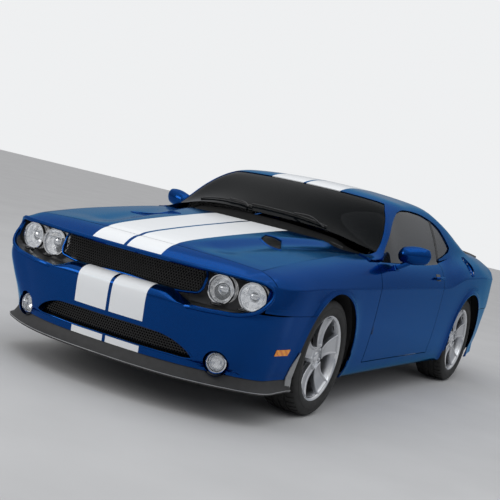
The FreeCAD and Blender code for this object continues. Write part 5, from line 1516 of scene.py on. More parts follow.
def stern_grid(first, last, columns, low, high, rows):
    """Grid on the stern between two plan places and two heights."""
    a, z = np.linspace(first, last, columns), np.linspace(low, high, rows)
    return on_end(STERN_SKIN, a[:, None] + 0 * z, z[None] + 0 * a[:, None])


def make_rear():
    """Lamp bar, plate recess, reversing lamps, reflectors, exhaust tips and the rear valance."""
    grid = stern_grid(0, LAMP_END - 0.012, 48, LAMP_LOW + 0.004, LAMP_HIGH - 0.004, 10)
    panel = shell("lamp_bar_panel", both_sides(grid - [0, 0.016, 0]), 0.01, (0, 1, 0))
    finish_piece(panel, "body", "gloss")
    for side, name in SIDES:
        flip = [side, 1, 1]
        blocks = []
        for first, last in ((0.62, 0.98), (1.02, 1.4), (1.44, LAMP_END - 0.05)):
            grid = stern_grid(first, last, 14, LAMP_LOW + 0.022, LAMP_HIGH - 0.022, 8) * flip
            blocks.append(plate("lamp", grid - [0, 0.014, 0], 0.009, 0.01, (0, 1, 0)))
            soften(blocks[-1], 0.004, 2)
        finish_piece(joined(f"{name}_tail_lamps", blocks), "body", "red", 40, once(side, "tail_lamps"))
        grid = stern_grid(0.85, 1.15, 10, 0.372, 0.412, 6) * flip
        # the reversing lamps glow with the same painted reflection and painted glints
        finish_piece(plate(f"{name}_reversing_lamp", grid, 0.002, 0.004, (0, 1, 0)), "body", "painted_glint_reflector")
        grid = stern_grid(3.1, 3.6, 12, 0.455, 0.49, 6) * flip
        finish_piece(plate(f"{name}_rear_marker", grid, 0.002, 0.005, (side, 0.5, 0)), "body", "red")
        tip = turned(f"{name}_exhaust_tip", [(-0.12, 0.04), (-0.12, 0.044), (0.0, 0.052), (0.004, 0.05),
                                             (0.004, 0.047), (-0.01, 0.046), (-0.1, 0.04)],
                     (0, 0, 0), (0, 1, 0), 48)
        for v in tip.data.vertices:
            v.co = Vector((side * 0.56 + v.co.x * 1.45, 3.984 + FRONT_Y + v.co.y, 0.29 + v.co.z * 0.86))
        finish_piece(tip, "body", "chrome", 40)
    recess = [grid + [0, 0.0015, 0] for grid in both_sides(stern_grid(0, 0.44, 24, 0.455, 0.59, 12))]
    finish_piece(shell("plate_recess", recess, 0.004, (0, 1, 0)), "body", "trim")
    blank = block("blank_plate", (0, 3.9955, 0.522), (0.305, 0.003, 0.105), 0.0012, 2)
    finish_piece(blank, "body", "plate")
    a = np.linspace(0, 3.2, 60)
    rows = []
    for h, d in ((0.292, 0.003), (CHIN_Z, 0.004), (0.236, -0.01), (0.216, -0.045), (0.214, -0.12)):
        p = on_end(STERN_SKIN, a, np.full(60, max(h, CHIN_Z)))
        rows.append(p * [1, 1, 0] + [0, d, h])
    valance = shell("rear_valance", both_sides(np.stack(rows[::-1], 1)), 0.006, (0, 1, -0.2))
    finish_piece(valance, "body", "chin", 30)


def make_spoiler():
    """Low wing across the trunk lid with drooped ends."""
    half = 0.655
    x = np.linspace(-half, half, 61)
    drop = 0.03 * np.clip((np.abs(x) - 0.42) / 0.235, 0, 1) ** 2
    chord = 0.208 - 0.055 * np.clip((np.abs(x) - 0.5) / 0.155, 0, 1) ** 2
    rows = []
    for q, h in ((0.0, 0.0), (0.02, 0.006), (0.25, 0.016), (0.6, 0.026), (0.92, 0.04), (1.0, 0.044),
                 (1.0, 0.036),
                 (0.9, 0.024), (0.5, 0.004), (0.1, -0.006)):
        s = 3.958 - 0.02 * (np.abs(x) / half) ** 2 - chord * (1 - q)
        rows.append(np.stack([x, s + FRONT_Y, 1.058 - drop + h], 1))
    grid = np.stack(rows, 1)
    n = grid.shape[1]
    faces = [(i * n + k, i * n + (k + 1) % n, (i + 1) * n + (k + 1) % n, (i + 1) * n + k)
             for i in range(len(x) - 1) for k in range(n)]
    faces += [tuple(range(n)), tuple((len(x) - 1) * n + k for k in range(n))]
    piece = from_points("deck_spoiler", list(grid.reshape(-1, 3)), faces)
    with editing(piece):
        bpy.ops.mesh.select_all(action="SELECT")
        bpy.ops.mesh.normals_make_consistent(inside=False)
    finish_piece(piece, "trunk_lid", "trim", 35, ["rear_spoiler"])


def make_cowl():
    """Black cowl between hood and glass, and two wipers parked on the windscreen."""
    q = np.linspace(-1, 1, 61)
    x = 0.785 * q
    front = 0.445 + 0.225 * q ** 2
    rear = 0.605 + 0.205 * q ** 2
    rows = []
    for t, h in ((0.0, -0.052), (0.1, -0.044), (0.35, -0.03), (0.75, -0.014), (1.0, -0.006)):
        s = front * (1 - t) + rear * t
        rows.append(np.stack([x, s + FRONT_Y, hood_z(x, np.minimum(s, 0.7)) + h + 0.045 * t * (1 - q ** 2)],
                             1))
    finish_piece(shell("cowl_panel", [np.stack(rows, 1)], 0.008, (0, 0, 1)), "body", "matt", 40)
    for name, first, last in (("left", 0.46, -0.12), ("right", -0.1, -0.6)):
        points = []
        for t in np.linspace(0, 1, 22):
            x = first + (last - first) * t
            s = 0.632 + 0.155 * (x / 0.705) ** 2 + 0.03 * t + 0.62 * t * (1 - t) * 0.1
            rail = float(look_up(HOUSE, (s - HOUSE_START) / STEP, 40.0)[0])
            p = on_house(s, abs(x) / rail)
            points.append((x, p[1], p[2] + 0.007))
        tube(f"{name}_wiper_blade", np.array(points), 0.0055, "body", "trim", closed=False)
        root, knee = points[0], points[9]
        arm = [knee, ((knee[0] + root[0]) / 2 + 0.03, knee[1] - 0.03, knee[2] - 0.004),
               (root[0] - 0.01, root[1] - 0.034, root[2] - 0.018)]
        tube(f"{name}_wiper_arm", flow(np.array(arm) + [0, 0, 0.01], 16), 0.006, "body", "trim", closed=False)


def make_tail_trim():
    """Trim wall that closes the load space behind the tail panel."""
    x = np.linspace(-0.8, 0.8, 61)
    rows = []
    for z, back in ((0.46, 0.0), (0.6, 0.0), (0.68, -0.035), (0.84, -0.035), (0.885, 0.0)):
        s = 3.77 + back - 0.14 * (np.abs(x) / 0.8) ** 4
        rows.append(np.stack([x, s + FRONT_Y, np.full(61, z)], 1))
    finish_piece(shell("tail_trim", [np.stack(rows, 1)], 0.006, (0, 1, 0)), "body", "matt", 40)


def make_liners():
    """Collars between the arch liners and the side skins, strips behind the bumper seams, and lid linings."""
    for word, centre in (("front", 0.0), ("rear", WHEELBASE)):
        edge = side_grid(side_line(arch_run(centre, 170.0, 10.0, 90, 0.43)))
        for side, name in SIDES:
            grid = np.stack([edge - [d, 0, 0] for d in (0.01, 0.03, 0.075)]) * [side, 1, 1]
            finish_piece(shell(f"{name}_{word}_arch_collar", [grid], 0.004, (0, 0, 1)), "body", "matt", 40)
    s = np.linspace(3.345, 3.7, 36)
    seam = np.stack([on_side(s, height_place(s, z)) - [0.011, 0, 0] for z in (0.615, 0.642, 0.67)])
    for side, name in SIDES:
        finish_piece(shell(f"{name}_seam_strip", [seam * [side, 1, 1]], 0.003, (side, 0, 0)), "body", "matt",
                     40)
    q, t = np.linspace(-1, 1, 61)[:, None], np.linspace(0, 1, 41)[None]
    for name, place, half, first, last in (("hood", on_hood, 0.61, -0.72, 0.32),
                                           ("trunk_lid", on_deck, 0.57, 3.25, 3.76)):
        x, s = np.broadcast_arrays(half * q, first + 0.06 * q ** 2 + (last - first) * t)
        grid = place(x, s)
        quilt = np.abs(np.sin(x * 21) * np.sin((s - first) * 21)) ** 0.35
        grid[..., 2] -= 0.026 + 0.007 * quilt * (1 - q ** 8) * (1 - (2 * t - 1) ** 8)
        finish_piece(shell(f"{name}_lining", [grid], 0.006, (0, 0, 1)), name, "carpet", 40)


# ---------------------------------------------------------------- cabin
def lean(place, angle):
    """Place and tilt of a seat part: place as (x, station, height), angle back from flat."""
    return Matrix.Translation(at(*place)) @ Matrix.Rotation(angle, 4, "X")


def soft_block(size, middle, round_by=0.5, crown=0.12):
    """Rounded block with a crowned face, the start of a seat pad."""
    piece = add("cube", "block", size=2)
    with editing(piece):
        bpy.ops.mesh.select_all(action="SELECT")
        bpy.ops.mesh.subdivide(number_cuts=9)
    for v in piece.data.vertices:
        u = v.co.copy()
        q = u * (1 - round_by) + u.normalized() * round_by * 1.2
        bow = 1 + crown * (1 - min(1, abs(u.x)) ** 2) * (1 - min(1, abs(u.y)) ** 2)
        v.co = (middle[0] + q.x * size[0] / 2, middle[1] + q.y * size[1] / 2,
                middle[2] + q.z * bow * size[2] / 2)
    return piece


def swell(piece, limit=0.022):
    """Fills a pad like stuffed leather: a short cloth run under pressure, kept within a limit."""
    before = [v.co.copy() for v in piece.data.vertices]
    only(piece)
    cloth = piece.modifiers.new("Cloth", "CLOTH")
    cloth.settings.use_pressure = True
    cloth.settings.uniform_pressure_force = 4
    cloth.settings.quality = 5
    cloth.settings.effector_weights.gravity = 0
    cloth.point_cache.frame_start, cloth.point_cache.frame_end = 1, 20
    for number in range(1, 21):
        bpy.context.scene.frame_set(number)
    bpy.ops.object.modifier_apply(modifier=cloth.name)
    bpy.context.scene.frame_set(1)
    for v, old in zip(piece.data.vertices, before):
        move = v.co - old
        if move.length > limit:
            v.co = old + move * (limit / move.length)


def seat_pad(name, blocks, channels, place, node=None):
    """One padded seat part from rounded blocks, with sewn channels; blocks lie flat with the face up."""
    pad = joined(name, [soft_block(*b) for b in blocks])
    modify(pad, "REMESH", mode="VOXEL", voxel_size=0.009)
    modify(pad, "SMOOTH", factor=0.5, iterations=3)
    swell(pad)
    normals = [v.normal.copy() for v in pad.data.vertices]
    for v, n in zip(pad.data.vertices, normals):
        if n.z > 0.2:
            for direction, middle, first, last in channels:
                along, off = (v.co.y, v.co.x) if direction == "y" else (v.co.x, v.co.y)
                if first < along < last:
                    v.co -= n * 0.009 * exp(-((off - middle) / 0.011) ** 2)
    tree = BVHTree.FromObject(pad, bpy.context.evaluated_depsgraph_get())
    threads = []
    for direction, middle, first, last in channels:
        path = []
        for q in np.linspace(first, last, 40):
            x, y = (middle, q) if direction == "y" else (q, middle)
            hit = tree.ray_cast(Vector((x, y, 1)), Vector((0, 0, -1)))[0]
            if hit:
                path.append(hit + Vector((0, 0, 0.0012)))
        if len(path) > 3:
            threads.append(path)
    pad.data.transform(place)
    finish_piece(pad, "body", "leather", 60, [node] if node else [])
    for number, path in enumerate(threads):
        points = np.array([tuple(place @ p) for p in path])
        tube(f"{name}_seam_{number + 1}", points, 0.0017, "body", "stitch", closed=False)


def seams(edge, first, last, half, places):
    """Channels of a pad as (direction, place, start, end): one along each edge, and some across."""
    return [("y", edge, first, last), ("y", -edge, first, last)] + [("x", q, -half, half) for q in places]


def pair_of(size, x, y, z):
    """The two side bolsters of a pad."""
    return [(size, (x, y, z)), (size, (-x, y, z))]


FRONT_SEAT_X, REAR_SEAT_X = 0.385, 0.3


def front_seat(side, name):
    """Bolstered front seat of one side with its head rest, base and rails."""
    middle = (0, 0, 0)
    x = side * FRONT_SEAT_X
    cushion = [((0.3, 0.5, 0.13), middle)] + pair_of((0.085, 0.47, 0.15), 0.172, 0.005, 0.022)
    seat_pad(f"{name}_seat_cushion", cushion + [((0.36, 0.09, 0.12), (0, -0.225, 0.006))],
             seams(0.128, -0.22, 0.22, 0.12, (-0.13, -0.04, 0.05)), lean((x, 1.435, 0.365), radians(-8)),
             "front_seats" if side > 0 else None)
    back = [((0.29, 0.6, 0.11), middle)] + pair_of((0.08, 0.5, 0.15), 0.168, -0.03, 0.026)
    seat_pad(f"{name}_seat_back", back + [((0.3, 0.12, 0.1), (0, 0.245, 0.004))],
             seams(0.126, -0.26, 0.18, 0.12, (-0.16, -0.05, 0.06, 0.17)),
             lean((x, 1.815, 0.68), radians(62)))
    seat_pad(f"{name}_head_rest", [((0.235, 0.14, 0.075), middle)], [("x", 0.02, -0.09, 0.09)],
             lean((x, 2.000, 1.09), radians(72)))
    posts = [turned("post", [(0, 0.0), (0, 0.006), (0.14, 0.006), (0.14, 0.0)], at(x + q, 1.962, 0.935),
                    (0, 0.26, 1), 20) for q in (0.055, -0.055)]
    finish_piece(joined(f"{name}_head_rest_posts", posts), "body", "chrome", 40)
    base = block(f"{name}_seat_base", (x, 1.46, 0.268), (0.4, 0.5, 0.12))
    with editing(base) as mesh:
        pick(mesh, lambda c, n: n.z < -0.9)
        bpy.ops.transform.resize(value=(0.86, 0.86, 1))
    modify(base, "BEVEL", width=0.022, segments=4)
    finish_piece(base, "body", "trim", 30)
    rails = joined(f"{name}_seat_rails", [block("rail", (x + q, 1.46, 0.2), (0.03, 0.56, 0.022))
                                          for q in (0.16, -0.16)])
    modify(rails, "BEVEL", width=0.004, segments=2)
    finish_piece(rails, "body", "pipe", 30)


def rear_seat(side, name):
    """Cushion and back of one rear place."""
    x = side * REAR_SEAT_X
    seat_pad(f"{name}_rear_cushion", [((0.44, 0.44, 0.12), (0, 0, 0)),
                                      ((0.075, 0.42, 0.13), (0.215, 0, 0.012))],
             seams(0.16, -0.18, 0.18, 0.15, (-0.07, 0.06)), lean((x, 2.375, 0.365), radians(-10)),
             "rear_seat" if side > 0 else None)
    seat_pad(f"{name}_rear_back", [((0.45, 0.52, 0.1), (0, 0, 0)),
                                   ((0.08, 0.44, 0.12), (0.215, -0.01, 0.012))],
             seams(0.16, -0.2, 0.18, 0.15, (-0.09, 0.05)), lean((x, 2.69, 0.665), radians(66)))


def make_seats():
    """Front and rear seat of each side, and the low hump between the rear places."""
    for side, name in SIDES:
        front_seat(side, name)
        rear_seat(side, name)
    hump = block("rear_seat_middle", (0, 2.46, 0.35), (0.13, 0.5, 0.13), 0.035, 5)
    finish_piece(hump, "body", "leather", 30)


DOOR_DEPTH = 0.117                                # from the door's skin to its inner face


def inner_plate(name, stations, heights, depth, thick, body, finish, bevel=0.006):
    """Trim panel that follows the body side at a depth inside it, between two stations and heights in mm."""
    (s0, s1), (z0, z1) = stations, heights
    grid = side_quad((s0, z0), (s1, z0), (s0, z1), (s1, z1), 30, 14)
    for side, side_name in SIDES:
        piece = shell(f"{side_name}_{name}", [(grid - [depth, 0, 0]) * [side, 1, 1]], thick, (-side, 0, 0))
        soften(piece, bevel, 3)
        finish_piece(piece, body.format(side=side_name), finish, 40)


def make_door_trim():
    """Door cards with inserts, pockets, arm rests, pulls and speakers, and the trim beside the rear seat."""
    for name, stations, heights, lift, thick, finish, bevel in (
            ("door_card", (790, 2060), (350, 930), 0.01, 0.01, "trim", 0.006),
            ("door_insert", (900, 1960), (640, 830), 0.022, 0.014, "leather", 0.01),
            ("door_pocket", (900, 1500), (390, 500), 0.036, 0.028, "trim", 0.012)):
        inner_plate(name, stations, heights, DOOR_DEPTH + lift, thick, "{side}_door", finish, bevel)
    inner_plate("quarter_trim", (2130, 2700), (420, 985), 0.15, 0.012, "body", "trim")
    for side, name in SIDES:
        body = f"{name}_door"
        rest = block(f"{name}_arm_rest", (side * (0.905 - DOOR_DEPTH - 0.052), 1.5, 0.61),
                     (0.075, 0.62, 0.07))
        with editing(rest) as mesh:
            pick(mesh, lambda c, n: n.y < -0.9)
            bpy.ops.transform.resize(value=(0.7, 1, 0.55))
        modify(rest, "BEVEL", width=0.024, segments=5)
        finish_piece(rest, body, "leather", 30)
        pull = flow([at(side * x, s, z) for x, s,
                     z in ((0.766, 1.22, 0.7), (0.735, 1.26, 0.715), (0.735, 1.4, 0.722),
                                                        (0.766, 1.44, 0.71))], 24)
        tube(f"{name}_door_pull", pull, 0.01, body, "edge", closed=False)
        speaker = turned(f"{name}_door_speaker",
                         [(0, 0.0), (0, 0.082), (0.004, 0.085), (0.01, 0.082), (0.011, 0.074),
                                                  (0.007, 0.07), (0.008, 0.0)],
                         at(side * 0.775, 0.965, 0.48), (-side, 0, 0), 48)
        finish_piece(speaker, body, "grit", 40)


SHIFTER = (0, 1.44, 0.556)


def make_console():
    """Console between the seats with its arm rest, gear lever and gaiter, head lining, mats and pedals."""
    s, w = np.linspace(1.29, 2.3, 30), np.linspace(0, 0.86, 22)
    lining = on_house(s[:, None] + 0 * w, w[None] + 0 * s[:, None], 0.036)
    finish_piece(shell("head_lining", both_sides(lining), 0.008, (0, 0, -1)), "body", "lining")
    console = block("centre_console", (0, 1.66, 0.46), (0.19, 1.02, 0.15))
    with editing(console) as mesh:
        pick(mesh, lambda c, n: n.z > 0.9)
        bpy.ops.mesh.inset(thickness=0.02, depth=0)
        bpy.ops.transform.translate(value=(0, 0, 0.016))
    modify(console, "BEVEL", width=0.012, segments=4)
    finish_piece(console, "body", "trim", 30)
    arm = soft_block((0.17, 0.36, 0.06), at(0, 1.93, 0.575), 0.3, 0.1)
    arm.name = arm.data.name = "console_arm_rest"
    modify(arm, "SUBSURF", levels=1, render_levels=1)
    finish_piece(arm, "body", "leather", 50)
    finish_piece(block("shifter_plate", (0, 1.44, 0.553), (0.11, 0.24, 0.008), 0.003, 3), "body", "lip", 30)
    gaiter = turned("shifter_gaiter", [(0.0, 0.0), (0.0, 0.05), (0.012, 0.046), (0.02, 0.036), (0.03, 0.034),
                                       (0.04, 0.022), (0.05, 0.02), (0.06, 0.011), (0.062, 0.0)],
                    at(*SHIFTER), (0, 0.12, 1), 40)
    finish_piece(gaiter, "body", "leather", 60)
    lever = turned("shifter", [(0.05, 0.0), (0.05, 0.006), (0.105, 0.006), (0.11, 0.016), (0.125, 0.024),
                               (0.145, 0.025), (0.16, 0.016), (0.164, 0.0)], at(*SHIFTER), (0, 0.12, 1), 40)
    finish_piece(lever, "body", "lip", 50)
    for side, name in SIDES:
        mat = block(f"{name}_floor_mat", (side * 0.4, 1.02, 0.222), (0.4, 0.42, 0.008), 0.003, 2)
        finish_piece(mat, "body", "carpet", 30)
    pedals = []
    for x, width, tall in ((0.3, 0.055, 0.1), (0.42, 0.085, 0.055)):
        pedals.append(add("cube", "pedal", size=1, scale=(width, 0.012, tall)))
        pedals[-1].data.transform(lean((x, 0.8, 0.36), radians(35)))
    pedals = joined("pedals", pedals)
    modify(pedals, "BEVEL", width=0.004, segments=2)
    finish_piece(pedals, "body", "edge", 30)


def make_dials(on_dash):
    """Four round dials with their marks and hands."""
    way = Vector((0, 1, 0.3)).normalized()
    facing = Vector((0, 1, 0)).rotation_difference(way).to_matrix().to_4x4()
    rings, faces, marks = [], [], []
    for x, r in ((0.5, 0.03), (0.435, 0.04), (0.345, 0.04), (0.28, 0.026)):
        place = on_dash(x, 0.868)
        rings.append(turned("dial", [(-0.004, r), (0.012, r), (0.016, r + 0.003), (0.014, r + 0.007),
                                     (-0.004, r + 0.008)], place, way, 40))
        faces.append(turned("face", [(0.0, 0.0), (0.0, r), (0.0045, r), (0.0045, 0.0)], place, way, 40))
        for k in range(11):
            tick = add("cube", "tick", size=1, location=(0, 0, r * 0.82), scale=(0.0016, 0.001, r * 0.16))
            marks.append(tick)
            tick.data.transform(Matrix.Rotation(radians(-130 + 26 * k), 4, "Y"))
            tick.data.transform(Matrix.Translation(place + way * 0.005) @ facing)
        hand = add("cube", "hand", size=1, location=(0, 0.001, r * 0.36), scale=(0.002, 0.001, r * 0.72))
        marks.append(hand)
        hand.data.transform(Matrix.Rotation(radians(-120), 4, "Y"))
        hand.data.transform(Matrix.Translation(place + way * 0.006) @ facing)
    finish_piece(joined("dial_rings", rings), "body", "chrome", 40)
    finish_piece(joined("dial_faces", faces), "body", "gloss", 40)
    finish_piece(joined("dial_marks", marks), "body", "stitch", 30)


def make_dashboard():
    """What is set on the dashboard's rear face, the inner mirror, and the steering wheel's pad."""
    tree = BVHTree.FromObject(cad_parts["dashboard"], bpy.context.evaluated_depsgraph_get())

    def on_dash(x, z):
        return tree.ray_cast(at(x, 2.6, z), Vector((0, -1, 0)))[0]

    make_dials(on_dash)
    for name, x, z, width, tall, finish in (("dash_screen", 0.0, 0.8, 0.17, 0.095, "gloss"),
                                            ("climate_panel", 0.0, 0.69, 0.17, 0.06, "edge"),
                                            ("glove_box_lid", -0.4, 0.7, 0.34, 0.15, "trim")):
        panel = add("cube", name, size=1, location=on_dash(x, z), scale=(width, 0.012, tall))
        modify(panel, "BEVEL", width=0.005, segments=3)
        finish_piece(panel, "body", finish, 30)
    slats = []
    for x in (-0.56, -0.15, 0.15, 0.6):
        place = on_dash(x, 0.885 if abs(x) > 0.3 else 0.88)
        if place is None:
            continue
        spots = [((0, 0.004, 0.018 * (k - 2) * 0.55), (0.085, 0.014, 0.0035)) for k in range(5)]
        spots += [((q, 0.004, 0), (0.004, 0.016, 0.052)) for q in (-0.045, 0.045)]
        slats += [add("cube", "slat", size=1, location=place + Vector(off), scale=size) for off,
                  size in spots]
    vents = joined("dash_vents", slats)
    modify(vents, "BEVEL", width=0.001, segments=1)
    finish_piece(vents, "body", "gloss", 30)
    finish_piece(block("inner_mirror", (0, 1.235, 1.2), (0.23, 0.03, 0.062), 0.013, 4), "body", "gloss", 30)
    stalk = flow([at(0, 1.225, 1.215), at(0, 1.21, 1.245), at(0, 1.2, 1.262)], 12)
    tube("inner_mirror_stalk", stalk, 0.006, "body", "gloss", closed=False)
    hub, column = at(0.385, 1.12, 0.86), (0, 0.92, 0.38)
    pad = turned("horn_pad", [(-0.02, 0.0), (-0.02, 0.06), (0.006, 0.062), (0.016, 0.052), (0.02, 0.03),
                              (0.021, 0.0)], hub, column, 48)
    finish_piece(pad, "body", "leather", 50)
    ring = turned("horn_ring", [(0.004, 0.0625), (0.009, 0.0605), (0.011, 0.0635), (0.006, 0.0655)], hub,
                  column, 48)
    finish_piece(ring, "body", "lip", 40)


def make_engine_bay():
    """Engine cover with its ribs, and the radiator panel, which show when the hood is up."""
    low, high = (Vector(p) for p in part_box("engine"))
    x, y = (low.x + high.x) / 2, (low.y + high.y) / 2
    cover = add("cube", "engine_cover", size=1, location=(x, y, high.z - 0.006), scale=(0.44, 0.62, 0.055))
    with editing(cover) as mesh:
        pick(mesh, lambda c, n: n.z > 0.9)
        bpy.ops.mesh.inset(thickness=0.035, depth=0)
        bpy.ops.mesh.inset(thickness=0.012, depth=-0.01)
    modify(cover, "BEVEL", width=0.01, segments=3)
    finish_piece(cover, "body", "charcoal", 30)
    ribs = joined("engine_cover_ribs", [add("cube", "rib", size=1, location=(x + q, y, high.z + 0.014),
                                            scale=(0.026, 0.46, 0.014)) for q in (-0.12, -0.04, 0.04, 0.12)])
    modify(ribs, "BEVEL", width=0.005, segments=3)
    finish_piece(ribs, "body", "lip", 30)
    finish_piece(block("radiator_panel", (0, -0.655, 0.6), (1.02, 0.06, 0.44), 0.01, 3), "body", "trim", 30)
    cap = turned("radiator_cap", [(0, 0), (0, 0.026), (0.016, 0.026), (0.02, 0.02), (0.021, 0.0)],
                 at(0.3, -0.65, 0.82), (0, 0, 1), 32)
    finish_piece(cap, "body", "edge", 40)


# ---------------------------------------------------------------- finishes
class Value:
    """A shader value; arithmetic on it adds Math nodes to its finish."""

    def __init__(self, finish, socket):
        self.finish, self.socket = finish, socket

    def __add__(self, other):
        return self.finish.math("ADD", self, other)

    def __mul__(self, other):
        return self.finish.math("MULTIPLY", self, other)

    def __sub__(self, other):
        return self.finish.math("SUBTRACT", self, other)

    def __rsub__(self, other):
        return self.finish.math("SUBTRACT", other, self)

    def __truediv__(self, other):
        return self.finish.math("DIVIDE", self, other)

    def __abs__(self):
        return self.finish.math("ABSOLUTE", self)

    def __gt__(self, other):
        return self.finish.math("GREATER_THAN", self, other)

    def __lt__(self, other):
        return self.finish.math("LESS_THAN", self, other)

    __radd__, __rmul__ = __add__, __mul__

    def clamp(self):
        return self.finish.math("MULTIPLY", self, 1.0, clamp=True)


class Finish:
    """A material built round one shader."""

    def __init__(self, name, colour, roughness=0.5, metallic=0.0, **sockets):
        self.made = bpy.data.materials.new(name)
        self.made.use_nodes = True
        self.tree = self.made.node_tree
        self.shader = self.tree.nodes["Principled BSDF"]
        self.give("Base Color", (*colour, 1))
        self.give("Roughness", roughness)
        self.give("Metallic", metallic)
        for key, value in sockets.items():
            self.give(key.replace("_", " "), value)
        self.place = self.node("TexCoord", output="Object")

    def give(self, socket, value):
        self.feed(self.shader.inputs[socket], value)

    def feed(self, socket, value):
        if isinstance(value, Value):
            self.tree.links.new(value.socket, socket)
        else:
            socket.default_value = value

    def node(self, kind, settings=(), inputs=(), output=0):
        node = self.tree.nodes.new("ShaderNode" + kind)
        for key, value in dict(settings).items():
            setattr(node, key, value)
        for key, value in dict(inputs).items():
            self.feed(node.inputs[key], value)
        return Value(self, node.outputs[output])

    def math(self, operation, *values, clamp=False):
        return self.node("Math", {"operation": operation, "use_clamp": clamp}, enumerate(values))

    def split(self):
        """The x, y and z of the place on the object."""
        first = self.node("SeparateXYZ", (), {0: self.place})
        return [Value(self, o) for o in first.socket.node.outputs]

    def mix(self, share, first, second):
        return self.node("Mix", {"data_type": "RGBA"}, {0: share, 6: first, 7: second}, 2)

    def noise(self, scale, detail=2.0, stretch=(1, 1, 1)):
        place = self.node("Mapping", (), {"Vector": self.place, "Scale": stretch})
        return self.node("TexNoise", (), {"Vector": place, "Scale": scale, "Detail": detail})

    def cells(self, scale):
        return self.node("TexVoronoi", {"feature": "DISTANCE_TO_EDGE"},
                         {"Vector": self.place, "Scale": scale})

    def bump(self, height, strength, distance=0.001):
        self.give("Normal", self.node("Bump", (),
                                      {"Strength": strength, "Distance": distance, "Height": height}))
        return self

    def vary(self, low, high, scale, detail=2.0, stretch=(1, 1, 1)):
        """Roughness that changes over the surface."""
        self.give("Roughness", self.noise(scale, detail, stretch) * (high - low) + low)
        return self

    def tones(self, dark, light, scale, detail=3.0, stretch=(1, 1, 1)):
        share = ((self.noise(scale, detail, stretch) - 0.5) * 2.2 + 0.5).clamp()
        self.give("Base Color", self.mix(share, (*dark, 1), (*light, 1)))
        return self


def blue_paint(name, striped):
    """Deep metallic blue under clear coat, with two white stripes along the middle of the car."""
    f = Finish(name, (0.01, 0.05, 0.3), 0.17, 0.92, Coat_Weight=0.12, Coat_Roughness=0.03,
               Specular_IOR_Level=0.2, Specular_Tint=(0.16, 0.62, 1.0, 1))
    flake = f.noise(1400, 1.0)
    colour = f.mix(((flake - 0.45) * 3).clamp(), (0.0008, 0.032, 0.165, 1), (0.0015, 0.09, 0.36, 1))
    if striped:
        x, y, z = f.split()
        s, across = y - FRONT_Y, abs(x)
        edge = f.node("MapRange", (), {"Value": s, "From Min": -0.85, "From Max": 0.4, "To Min": 0.236,
                                       "To Max": 0.284})
        band = ((edge - across) * 900).clamp() * ((across - 0.0105) * 900).clamp()
        # On the nose between 0.3 m and 0.44 m the stripes give way to blue: painted shade where the bumper's
        # lip turns under into the intake.
        painted_shade_lip = (s < -0.6) * (z < 0.44) * (z > 0.3)
        low = (s > 3.6) * (z < 0.64)
        mask = band * (1 - painted_shade_lip) * (1 - low)
        colour = f.mix(mask, colour, (0.9, 0.91, 0.92, 1))
        f.give("Metallic", (1 - mask) * 0.92)
    f.give("Base Color", colour)
    return f.made


def black_trim(name, tone, low, high, grain):
    """Moulded black plastic; a larger grain is coarser."""
    f = Finish(name, (tone, tone, tone * 1.06)).vary(low, high, 60)
    f.tones((tone * 0.8,) * 3, (tone * 1.3, tone * 1.3, tone * 1.36), 30)
    return f.bump(f.noise(grain, 3.0), 0.35, 0.0006).made


def bright_metal(name, colour, low, high, stretch=(1, 1, 1), scale=40):
    """Bright metal finish with a slight change of roughness."""
    f = Finish(name, colour, 0.2, 1.0).vary(low, high, scale, 3.0, stretch)
    dark = tuple(c * 0.9 for c in colour)
    return f.tones(dark, colour, scale, 3.0, stretch).made


def tinted_glass(name, colour, alpha, coat=0.0, shine=0.5):
    """Glass finish with a tint."""
    f = Finish(name, colour, 0.03, 0.0, Alpha=alpha, Coat_Weight=coat, Specular_IOR_Level=shine)
    return f.vary(0.015, 0.05, 9).made


def lens(name, dark, light, alpha):
    """Coloured lamp lens with fine vertical flutes."""
    f = Finish(name, light, 0.1, 0.0, Alpha=alpha, Coat_Weight=0.4, Specular_IOR_Level=0.25)
    flutes = f.node("TexWave", {"wave_type": "BANDS", "bands_direction": "X"},
                    {"Vector": f.place, "Scale": 60.0})
    f.give("Base Color", f.mix(flutes, (*dark, 1), (*light, 1)))
    return f.bump(flutes, 0.25, 0.0008).made


def rough_metal(name, dark, light, low, high, grain=260, metallic=0.6):
    """Dull metal finish in two tones with a fine grain."""
    f = Finish(name, light, 0.5, metallic).vary(low, high, 25)
    f.tones(dark, light, 14)
    return f.bump(f.noise(grain, 4.0), 0.45, 0.0008).made


